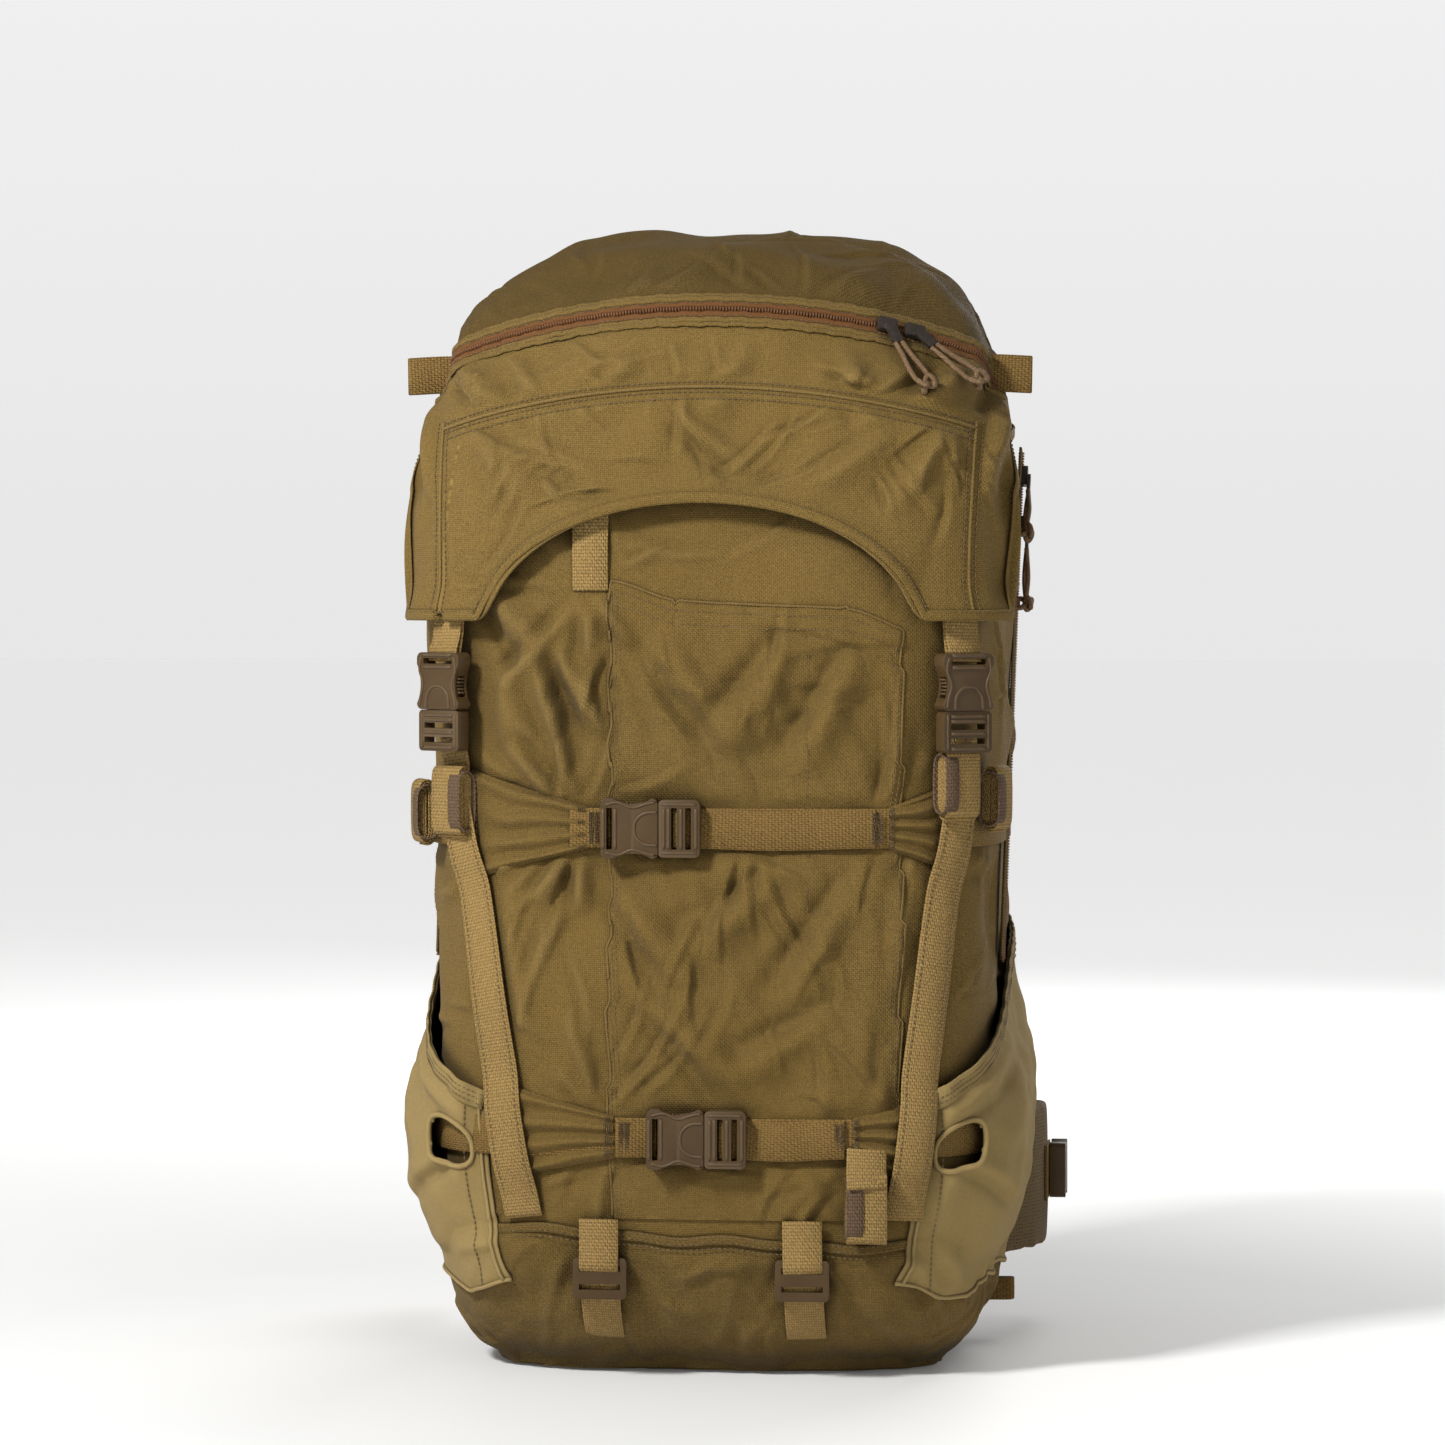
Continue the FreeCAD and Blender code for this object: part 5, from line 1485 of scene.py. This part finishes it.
def make_lid_details(ground):
    """Hem, seams, zip and stitching of the lid."""
    t = np.linspace(0, 2 * math.pi, 721)[:-1]
    edge = lid_wall(t, lid_edge(*squircle(t, *LID_PLAN)))
    edge = smooth_path(np.vstack([edge[::2], edge[:1]]), 620)[:-1]
    outwards = unit(edge * [1, 1, 0] - [0, -67, 0])
    upwards = unit(np.cross(outwards, tangents(edge, closed=True)))
    upwards *= np.sign(upwards[:, 2:3] + 1e-6)
    middle = ground.lay(edge + upwards * 3.2, outwards, 0.5)
    Piece().strip(middle, outwards, 7, 1.3, closed=True).make("lid_hem", LID_CLOTH, "lid")
    threads = Piece()
    threads.stitches(ground.lay(edge + upwards * 5.4, outwards, 1.5), outwards, pitch=3.4)
    x = np.linspace(-170, 170, 190)
    for drop in (-3.2, 3.2, 7.5):
        points, n = lid_front(x, front_seam_z(x) - drop)
        threads.stitches(ground.lay(points, n, 0.4), n, pitch=3.5)
    points, n = lid_front(x, front_seam_z(x))
    seam = Piece().tube(ground.lay(points, n, 0.1), 1.3, 6)
    z = np.linspace(486, 606, 60)
    for side in (-1, 1):
        points, n = lid_front(side * flap_seam_x(z), z)
        seam.tube(ground.lay(points, n, 0.1), 1.2, 6)
        for shift in (-3.6, 3.6):
            points, n = lid_front(side * flap_seam_x(z) + shift, z)
            threads.stitches(ground.lay(points, n, 0.4), n)
    seam.make("lid_seams", LID_CLOTH, "lid")
    make_lid_zip(ground, threads)
    threads.make("lid_stitches", THREAD, "lid", smooth=False)


def lid_front(x, z):
    """Points of the lid's packed front at given x and height, with the way that they face."""
    half, front, back, power = lid_section(z)
    return face_on(x, z, half, (back - front) / 2, (front + back) / 2, power)


def make_lid_zip(ground, threads):
    """The lid's zip: a coil between two edges of tape, under two lips of cloth that are sewn down."""
    angles = np.linspace(-41, 41, 260)
    t = np.radians(angles)[:, None]
    out = -ZIP_INWARD * np.cos(t) + np.array([1.0, 0, 0]) * np.sin(t)
    ring = ZIP_CENTRE + out * ZIP_RADIUS
    free = smoothstep(np.abs(angles), 30.5, 36)[:, None]
    middle = (ring - out * 0.6) * (1 - free) + ground.lay(ring, out, 0.6, reach=40) * free
    wave = (0.5 * np.sin(angles * 1.9) + 0.35 * np.sin(angles * 4.3 + 1))[:, None]
    tape, lips = Piece(), Piece()
    for side in (-1, 1):
        line = middle + ZIP_AXIS * side * 5.4 + out * 0.15 * wave + ZIP_AXIS * 0.5 * wave
        tape.strip(line - ZIP_AXIS * side * 1.9, out, 4.8, 1.1)
        lips.strip(line + ZIP_AXIS * side * 2.4, out, 4.4, 1.7)
        lip = ground.lay(middle + ZIP_AXIS * side * 10.4 + ZIP_AXIS * 0.7 * wave, out, 0.9, reach=24)
        lips.strip(lip, out, 4.6, 1.3)
        for shift in (5.0, 7.8):
            row = middle + ZIP_AXIS * (side * shift + 0.5 * wave) + out * 0.75
            threads.stitches(row, out, pitch=3.2, radius=0.36)
        threads.stitches(lip + out * 0.6, out, pitch=3.2)
    tape = tape.make("lid_zip_tape", ZIP_TAPE, "lid")
    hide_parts("lid_zip")
    lips.make("lid_zip_lips", LID_CLOTH, "lid")
    crest = middle + out * 0.5 + ZIP_AXIS * 0.4 * wave
    coil = Piece().stitches(crest, out, pitch=1.9, length=1.5, radius=2.1)
    coil.make("lid_zip_coil", ZIP_COIL, "lid")


def make_lid_floor():
    """The sheet of cloth under the lid's pocket, which sags in its middle."""
    flat = dome(LID_CELLS, lid_turns())
    half, front, back, _ = lid_section(DOME_Z)
    middle, depth = (front + back) / 2, (back - front) / 2
    u, v = flat[..., 0] / half, (flat[..., 1] - middle) / depth
    inset = 14
    points = np.stack([u * (half - inset), middle + v * (depth - inset), 0 * u + 648], -1)
    rim = np.clip(np.maximum(np.abs(u), np.abs(v)), 0, 1)
    points[..., 2] -= (3.0 + 1.2 * ripple(points, 70, 51)) * (1 - rim**4)
    floor = Piece().grid(points).make("lid_floor", LINING, "lid")
    refine(floor, 1, solid=1.2 * MM)


# ---- webbing and what is sewn to it -------------------------------------------------------------
# name, height, x of its buckle's outer end, y of its end round the sides, and x of its wings' inner ends
STRAPS = [("mid", MID_Z, -62.0, 62.0, (-80, 122)), ("lower", LOW_Z, -32.0, -90.0, (-60, 100))]
FEMALE_LENGTH = 36.0
BUCKLE_GAP = 0.3
FEMALE_BAR = 5.4  # from the buckle's outer end to the bar that holds its webbing
MALE_SLOT = 10.0
SIDE_OUT = 3.1  # how far a strap's middle lies off the bag


def strap_path(z, start, end, out):
    """A level path off the bag between two plan angles, with the way that it faces."""
    t = np.linspace(start, end, max(24, int(abs(end - start) * 60)))
    return bag_point(t, np.full_like(t, z), out)


def across_front(z, x_from, x_to, out):
    """A strap's path along the bag's front between two x."""
    return strap_path(z, turn_at_x(x_from, z), turn_at_x(x_to, z), out)


def round_side(z, x_from, side, back_y):
    """A strap's path from the front on round a side, to some y."""
    end = turn_at_y(back_y, z, side)
    return strap_path(z, turn_at_x(x_from, z), end - 2 * math.pi if side < 0 else end, SIDE_OUT)


def add_female_side(web, z, bar, back_y):
    """The fixed webbing: round the left side, and folded through the female half's bar."""
    web.strip(*round_side(z, bar, -1, back_y))
    path, n = across_front(z, bar - 26, bar, 5.2)
    lead, m = across_front(z, bar, bar + 0.5, 9.5)
    web.strip(smooth_path(np.vstack([path[::6], lead[:1]]), 24), smooth_path(np.vstack([n[::6], m[:1]]), 24))


def add_male_side(web, z, slot, back_y, wing_x):
    """The adjustable webbing: round the right side, and its free run from the male half to the wing."""
    web.strip(*round_side(z, slot + 12, 1, back_y))
    over, m = across_front(z, slot + 9, wing_x - 6, 5.0)
    first, f = across_front(z, slot - 1, slot, 10.4)
    over = smooth_path(np.vstack([first[:1], first[:1] + [5, -0.8, 0], over[2::4]]), 120)
    m = smooth_path(np.vstack([f[:1], f[:1], m[2::4]]), 120)
    sag = 1.6 * np.sin(np.linspace(0, math.pi, 120))[:, None] ** 2
    lift = 0.7 * np.sin(np.linspace(0, 9, 120))[:, None] ** 2
    web.strip(over - UP * sag + m * lift, m)


def make_compression_straps():
    """The two straps across the front, with the bar tacks that hold them to their wings."""
    for name, z, x, back_y, wings in STRAPS:
        web = Piece()
        add_female_side(web, z, x + FEMALE_BAR, back_y)
        add_male_side(web, z, x + FEMALE_LENGTH + BUCKLE_GAP + MALE_SLOT, back_y, wings[1])
        web = web.make(f"{name}_strap_webbing", WEBBING, "pack")
        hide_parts(f"{name}_strap")
        threads = Piece()
        for tack in (wings[0] + 11, wings[0] + 14.5, wings[1] - 14, wings[1] - 10.5):
            bar_tack(threads, z, tack, 6.4)
        threads.make(f"{name}_strap_tacks", DARK_THREAD, "pack", smooth=False)


def bar_tack(threads, z, x, out):
    """A dense upright zigzag of thread across webbing on the bag's front."""
    count = 19
    rise = np.linspace(-10, 10, count)
    sway = 1.3 * (-1.0) ** np.arange(count)
    points, n = front_view(x + sway, z + rise)
    threads.stitches(points + n * out, n, pitch=1.4, length=1.5, radius=0.38)


def make_uprights():
    """The two upright straps, which pass over the wings, stitched along both edges."""
    web, threads = Piece(), Piece()
    z = np.linspace(UPRIGHT_Z[1] - 4, UPRIGHT_Z[0], 90)
    near_strap = np.exp(-(((z[:, None] - np.array([MID_Z, LOW_Z])) / 30) ** 4)).max(1)
    off = (3.4 + 5.6 * near_strap + 0.5 * np.sin(z / 17))[:, None]
    for i in (0, 1):
        points, n = front_view(upright_x(i, z), z)
        web.strip(points + n * off, n)
        side = unit(np.cross(tangents(points), n))
        for shift in (-9.5, 9.5):
            line = points + n * (off + 0.9) + side * shift
            threads.stitches(line[4:86], n[4:86], pitch=3.8)
    web = web.make("upright_webbing", PALE_WEBBING, "pack")
    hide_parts("upright_straps")
    threads.make("upright_stitches", THREAD, "pack", smooth=False)


# heights down a front corner with how far off it a web's middle lies, for the outer and inner layers
LID_WEBS = [
    [(506, 6.0), (492, 6.2), (480, 7.4), (470, 9.4), (462, 12.6), (454.6, 13.9)],
    [(506, 4.4), (486, 4.4), (472, 6.4), (460, 9.4), (454.6, 10.6)],
]


def make_lid_straps():
    """The short webs that hang out of the lid's front corners into the female buckles."""
    web = Piece()
    for side in (-1, 1):
        for rows in LID_WEBS:
            path, n = zip(*(corner_point(z, CORNER_TURN, side, off) for z, off in rows))
            web.strip(smooth_path(path, 40), n[0])
    web = web.make("lid_strap_webbing", PALE_WEBBING, "lid")
    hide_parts("lid_straps")


ROLL_STEP = 1.55  # from one layer of a roll to the next
ROLL_THICK = 1.35
KEEPER = (10.5, 1.2)
# side, height, how far round the corner, width and height of each roll beside the uprights
SIDE_ROLLS = [
    (1, 378, CORNER_TURN, 25, 34),
    (-1, 366, CORNER_TURN, 25, 34),
    (1, 368, 66, 20, 31),
    (-1, 358, 66, 20, 31),
]


def racetrack(half, radius, turns, step):
    """A flat spiral of straight runs and half turns, in its own plane."""
    t = np.linspace(0.0, turns, int(48 * turns))
    r = radius + step * t
    angle = 2 * math.pi * t
    c, s = np.cos(angle), np.sin(angle)
    push = np.tanh(3.5 * c) * (half - radius)
    return np.stack([push + r * c, r * s], -1)


def hang(at, flat, out, squash=1.0):
    """A flat outline stood upright at a place, with its first column downwards and its second outwards."""
    return at - flat[:, :1] * UP + flat[:, 1:] * out * squash


def add_roll(rolls, spiral, across, width):
    """Webbing rolled along a flat spiral."""
    rolls.strip(spiral, np.cross(tangents(spiral), across), width, ROLL_THICK)


def add_keeper(keepers, band, across):
    """An elastic loop round a roll."""
    keepers.strip(band, np.cross(tangents(band, True), across), *KEEPER, closed=True)


def make_rolls():
    """Spare webbing, rolled flat in elastic keepers beside the uprights and at the right one's foot."""
    rolls, keepers = Piece(), Piece()
    for side, z, turn, width, tall in SIDE_ROLLS:
        at, out = corner_point(z, turn, side, 12.5)
        across = np.cross(out, -UP)
        add_roll(rolls, hang(at, racetrack(tall / 2 - 0.8, 0.5, 4.0, ROLL_STEP), out, 0.92), across, width)
        at = at + across * (width / 2 - 2.5) * -side
        add_keeper(keepers, hang(at, racetrack(tall / 2 + 1.6, 7.3, 1.0, 0.0)[:-1], out, 0.98), across)
    at, out = front_view(103.0, 113.0)
    at, across = at + out * 12.0, np.array([1.0, 0, 0])
    add_roll(rolls, hang(at, racetrack(17, 0.5, 3.8, ROLL_STEP), out), across, WEB)
    points, n = front_view(np.array([104, 103.5, 103, 103]), np.array([150, 143, 134, 126]))
    rolls.strip(smooth_path(points + n * np.array([[6.5], [9], [14], [18.6]]), 24), n[0])
    add_keeper(keepers, hang(at - across * 8, racetrack(19, 7.6, 1.0, 0.0)[:-1], out), across)
    rolls = rolls.make("webbing_rolls", PALE_WEBBING, "pack")
    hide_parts("strap_rolls")
    keepers.make("elastic_keepers", ELASTIC, "pack")


WING_HALF = WEB / 2 + 1
# x of a wing's outer end with its lowest and highest z there, and the same at its inner end
WINGS = [
    (-150, MID_Z - 36, MID_Z + 38, -72, MID_Z - WING_HALF, MID_Z + WING_HALF),
    (152, MID_Z - WING_HALF - 14, MID_Z + WING_HALF + 14, 117, MID_Z - WING_HALF, MID_Z + WING_HALF),
    (-130, LOW_Z - 30, LOW_Z + 36, -54, LOW_Z - WING_HALF, LOW_Z + WING_HALF),
    (140, LOW_Z - WING_HALF - 18, LOW_Z + WING_HALF + 12, 96, LOW_Z - WING_HALF, LOW_Z + WING_HALF),
]


def wing_surface(k, x0, low0, high0, x1, low1, high1):
    """A pleated wing that narrows towards its strap, with the way that it faces."""
    u, v = np.meshgrid(np.linspace(0, 1, 60), np.linspace(0, 1, 44), indexing="ij")
    ease = u**0.85
    low, high = low0 + (low1 - low0) * ease, high0 + (high1 - high0) * ease
    points, n = front_view(x0 + (x1 - x0) * u, low + (high - low) * v)
    edge = np.minimum.reduce([v, 1 - v]) * 2
    pleats = np.sin(v * math.pi * (7 + k % 2) + 0.9 * np.sin(3 * u + k) + 0.5 * ripple(points, 40, 60 + k))
    rise = 4.6 + 2.3 * pleats * smoothstep(u, 0.02, 0.4) * smoothstep(edge, 0, 0.16) * (1 - 0.45 * u)
    rise = rise + 1.6 * np.sin(math.pi * u) * smoothstep(edge, 0, 0.5)
    rise = rise - 2.6 * (1 - smoothstep(edge, 0, 0.12))
    rise = rise - 3.6 * (1 - smoothstep(u, 0, 0.07))
    return points + n * rise[..., None], n


def make_wings():
    """Gathered cloth that takes up the compression straps' pull."""
    cloth, threads = Piece(), Piece()
    for k, outline in enumerate(WINGS):
        points, n = wing_surface(k, *outline)
        cloth.grid(points, flip=outline[3] < outline[0])
        for at in (3, 6):
            threads.stitches(points[at] + n[at] * 0.4, n[at])
        for at in range(55, 59):
            inner, out = points[at][2:-2], n[at][2:-2]
            threads.stitches(inner + out * 0.5, out, pitch=1.7, length=1.5)
    cloth = cloth.make("gathered_wings", PANEL_CLOTH, "pack")
    refine(cloth, 1)
    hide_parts("strap_wings")
    threads.make("wing_stitches", THREAD, "pack", smooth=False)


# one side's loops of webbing, seen from above; the other side's are mirrored
TAB_LOOP = [
    (168, -103.2, 638.5), (182, -103.4, 638.3), (196, -103.2, 637.6), (202, -101.3, 637.3),
    (196, -99.4, 637.6), (182, -99.3, 638.3), (168, -99.5, 638.5),
]
SIDE_LOOP = [
    (152, 37, 31.5), (168, 36.9, 31.6), (181, 37.5, 31.8), (183.4, 41, 32),
    (181, 44.5, 31.8), (168, 45.1, 31.6), (152, 45, 31.5),
]
# a base web's heights, each with how far off the bag its middle lies; it humps through its ladder lock
BASE_WEB = [
    (104, 5.6), (96, 6.6), (88, 8.0), (80, 10.4), (74, 12.2), (68, 10.6),
    (62, 12.2), (54, 10.0), (44, 8.0), (34, 6.6), (26, 5.0),
]


def make_loops(route, width, name, body, node):
    """A loop of webbing on each side."""
    loops = Piece()
    for side in (-1, 1):
        path = smooth_path(np.array(route) * [side, 1, 1], 60)
        loops.strip(path, np.cross(tangents(path), UP), width, WEB_THICK)
    loops = loops.make(name, WEBBING, body)
    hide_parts(node)


def make_small_webs():
    """Side tabs of the lid, loops and webs at the base, and the short web under the lid's arch."""
    make_loops(TAB_LOOP, WEB - 1, "lid_tab_webbing", "lid", "lid_tabs")
    webs = Piece()
    z, off = np.array(BASE_WEB).T
    for x in (-64.0, 64.0):
        points, n = front_view(np.full(len(z), x), z)
        webs.strip(smooth_path(points + n * off[:, None], 80), n[5])
    webs = webs.make("base_webs", PALE_WEBBING, "pack")
    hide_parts("base_webbing")
    z = np.linspace(566, 499, 30)
    points, n = front_view(np.full(30, -69.0), z)
    centre = Piece().strip(points + n * (3.2 + 0.6 * np.sin(z / 9))[:, None], n, WEB - 2, WEB_THICK)
    centre.make("front_web", PALE_WEBBING, "pack")
    make_loops(SIDE_LOOP, 15, "small_loops", "pack", "side_loops")


# ---- side zips ----------------------------------------------------------------------------------
def make_side_zips():
    """A coil zip down each side of the bag, between two sewn edges of tape."""
    tape, lips, coil, threads = Piece(), Piece(), Piece(), Piece()
    for side in (-1, 1):
        spots = [side_zip_frame(z, side) for z in np.linspace(590, 262, 150)]
        middle = np.array([p for p, _ in spots])
        _, across, out = spots[0][1]
        wave = 0.4 * np.sin(np.linspace(0, 38, 150))[:, None]
        for edge in (-1, 1):
            tape.strip(middle + across * edge * (3.0 + wave) + out * 0.2, out, 3.2, 1.1)
            lips.strip(middle + across * edge * (7.4 + wave) + out * 0.2, out, 6.4, 1.8)
            for shift, lift in ((4.2, 0.9), (7.2, 0.9), (10.2, 0.5)):
                threads.stitches(middle + across * edge * (shift + wave) + out * lift, out, pitch=3.4)
        coil.stitches(middle + out * 0.4, out, pitch=1.9, length=1.5, radius=2.0)
    tape = tape.make("side_zip_tape", ZIP_TAPE, "pack")
    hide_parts("side_zips")
    lips.make("side_zip_lips", CLOTH, "pack")
    coil.make("side_zip_coil", ZIP_COIL, "pack")
    threads.make("side_zip_stitches", THREAD, "pack", smooth=False)


# ---- hardware, frame and harness ----------------------------------------------------------------
MOULDINGS = [
    "mid_buckle_female", "mid_buckle_male", "lower_buckle_female", "lower_buckle_male",
    "lid_buckle_females", "lid_buckle_males", "sternum_buckle_female", "sternum_buckle_male",
    "right_belt_buckle_female", "left_belt_buckle_male", "base_ladder_locks", "harness_locks",
    "sternum_clips", "cord_lock_barrel", "cord_lock_button",
]
SLIDERS = [
    "lid_zip_slider_1", "lid_zip_slider_2",
    "right_zip_slider_lower", "right_zip_slider_upper", "left_zip_slider",
]


def round_edges(thing, bevel, segments):
    """Welds a CAD mesh and bevels its sharp edges."""
    weld = thing.modifiers.new("weld", "WELD")
    weld.merge_threshold = 0.00002
    m = thing.modifiers.new("bevel", "BEVEL")
    m.width, m.segments, m.limit_method = bevel * MM, segments, "ANGLE"
    return m


def finish_node(name, material, bevel):
    """A better material and rounded edges for a CAD part whose shape is right."""
    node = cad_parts[name]
    node.data.materials.clear()
    node.data.materials.append(material)
    finish_mesh(node)
    m = round_edges(node, bevel, 3)
    m.angle_limit = math.radians(32)
    m.harden_normals = True


def finish_hardware():
    """The CAD's own buckles, locks, sliders and frame, with their materials."""
    for name in MOULDINGS:
        finish_node(name, MOULDED, 0.9 if "buckle" in name else 0.6)
    for name in SLIDERS:
        finish_node(name, SLIDER, 0.5)
    finish_node("frame_sheet", SHEET, 0.8)
    finish_node("frame_stays", STAY, 0.6)


# along and across a buckle half's face: its waisted rim on one side, and the arch round its release
FEMALE_RIM = [(3, -15), (11, -16.4), (20, -13.2), (29, -15.6), (34, -16.4)]
FEMALE_ARCH = [(35.2, 10.5), (27.5, 9.6), (22.4, 5.4), (21.2, 0), (22.4, -5.4), (27.5, -9.6), (35.2, -10.5)]
LADDER_BARS = (3.4, 6.4, 14.2, 23.6)


def buckle_trim(name, place, own_axes, body_female, body_male):
    """Moulded detail on a side-release buckle: a rim, grip ribs and a bead on each ladder bar."""
    x, y, out = own_axes
    female, male = Piece(), Piece()

    def across(start, along, half, count=9):
        return np.array([start + x * along + y * b for b in np.linspace(-half, half, count)])

    top = place + out * 5.4
    for s in (-1, 1):
        female.tube(smooth_path(np.array([top + x * a + y * b * s for a, b in FEMALE_RIM]), 30), 0.9, 6)
    female.tube(smooth_path(np.array([top + x * a + y * b for a, b in FEMALE_ARCH]), 48), 1.0, 6)
    for along in (1.6, 9.2):
        female.tube(across(top, along, 12.5) - out * 0.2, 1.2, 6)
    for k in range(5):
        root = place + x * (16.5 + 2.2 * k)
        for s in (-1, 1):
            rib = root + y * s * (14.6 + 1.2 * abs(k - 2) / 2)
            female.tube(np.array([rib + out * o for o in np.linspace(-2.6, 2.6, 5)]), 0.75, 5)
    base = place + x * (FEMALE_LENGTH + BUCKLE_GAP) + out * 4.3
    for along in LADDER_BARS:
        male.tube(across(base, along, 12.6), 1.15, 6)
    for s in (-1, 1):
        male.tube(np.array([base + x * a + y * s * 15.2 for a in np.linspace(2, 24, 8)]), 0.9, 6)
    female.make(name + "_female_trim", MOULDED, body_female)
    male.make(name + "_male_trim", MOULDED, body_male)


def trim_buckles():
    """Trim for the two compression buckles and the lid's two."""
    for name, z, x, *_ in STRAPS:
        depth = dense(BAG, z)[0][1]
        place = np.array([x, BACK_Y - depth - 3.9 - 1.3 - 5.5, z])
        buckle_trim(name + "_buckle", place, axes([1, 0, 0], [0, -1, 0]), "pack", name + "_male")
    for side, name in ((-1, "left_lid_buckle"), (1, "right_lid_buckle")):
        place, out = corner_point(440.0, CORNER_TURN, side, 13.9)
        place[2] = 460.0
        buckle_trim(name, place, axes([0, 0, -1], out), "lid", "pack")


PADS = [
    ("back_pad", "pack", "back_cushion"),
    ("lumbar_pad", "pack", "lumbar_cushion"),
    ("yoke", "pack", "yoke_pad"),
    ("right_shoulder_strap", "pack", "right_shoulder_pad"),
    ("left_shoulder_strap", "pack", "left_shoulder_pad"),
    ("right_belt_wing", "right_belt", "right_belt_pad"),
    ("left_belt_wing", "left_belt", "left_belt_pad"),
]


def copy_node(node, name):
    """A CAD part's mesh as a new piece."""
    thing = bpy.data.objects.new(name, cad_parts[node].data.copy())
    bpy.context.scene.collection.objects.link(thing)
    return thing


def cushion(node, body, name, voxel, shrink):
    """A CAD pad as sewn foam: remeshed, filled out, and softened at its edges."""
    thing = copy_node(node, name)
    m = thing.modifiers.new("remesh", "REMESH")
    m.mode, m.voxel_size = "VOXEL", voxel * MM
    m = thing.modifiers.new("soften", "SMOOTH")
    m.factor, m.iterations = 0.5, 5
    apply_modifiers(thing)
    flat = coordinates(thing) / MM
    move = 0.5 * ripple(flat, 55, 71) - shrink + 0.25 * ripple(flat, 22, 72)
    move_to(thing, (flat + vertex_normals(thing) * move[:, None]) * MM)
    simulate(thing, np.zeros(len(flat)), 3.0, 0.0, 4.0, frames=12, bend=2.0)
    thing.data.materials.clear()
    thing.data.materials.append(MESH)
    refine(thing, 1)
    finish_mesh(thing)
    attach(thing, body)
    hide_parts(node)


# the outer edge of a shoulder strap, as y and height: over the shoulder and down to its lock
SHOULDER_LINE = [
    (117.4, 456), (117.4, 515), (123.2, 538), (137.2, 552), (156.2, 554),
    (170.2, 537), (176.2, 500), (164.2, 395), (152.2, 330), (147.2, 297),
]


def make_shoulder_binding():
    """Tape along both edges of both shoulder straps."""
    binding = Piece()
    for side in (-1, 1):
        for x in (38.6, 101.4):
            path = smooth_path([(x * side, y, z) for y, z in SHOULDER_LINE], 120)
            out = unit(np.cross(tangents(path), [side * 1.0, 0, 0])) * side
            middle = path - out * 6.5 * np.sign(out[60, 1])
            binding.strip(middle, [np.sign(x - 70) * side, 0, 0], 12.0, 1.6)
    binding.make("shoulder_binding", BINDING, "pack")


def make_pads():
    """The harness's and belt's seven pads, and the shoulder straps' binding."""
    for node, body, name in PADS:
        thin = node == "yoke"
        cushion(node, body, name, voxel=2.4 if thin else 4.2, shrink=0.4 if thin else 0.9)
    make_shoulder_binding()


def surface_copy(node, name, body):
    """A CAD webbing piece with its own weave and softened edges."""
    thing = copy_node(node, name)
    round_edges(thing, 0.4, 2)
    apply_modifiers(thing)
    thing.data.materials.clear()
    thing.data.materials.append(WEBBING)
    finish_mesh(thing)
    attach(thing, body)
    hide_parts(node)


def make_harness_webs():
    """The webbing of the harness, sternum strap and belt, and the haul loop."""
    for node, name, body in (
        ("harness_straps", "harness_webbing", "pack"),
        ("sternum_webbing", "sternum_webs", "sternum"),
        ("right_belt_webbing", "right_belt_web", "right_belt"),
        ("left_belt_webbing", "left_belt_web", "left_belt"),
        ("haul_loop", "haul_handle", "haul"),
    ):
        surface_copy(node, name, body)


def main():
    """Builds every piece, each on top of the ones that it lies on."""
    make_stage()
    make_pulls()
    bag = make_bag()
    ground = Surface(bag)
    make_front_pocket(ground)
    ground = Surface(bag, make_base(ground))
    for side in (-1, 1):
        make_side_pocket(side, ground)
    make_collar()
    lid = make_lid()
    make_lid_details(Surface(lid))
    make_lid_floor()
    make_wings()
    make_compression_straps()
    make_uprights()
    make_lid_straps()
    make_rolls()
    make_small_webs()
    make_side_zips()
    finish_hardware()
    trim_buckles()
    make_pads()
    make_harness_webs()
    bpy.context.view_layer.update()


main()
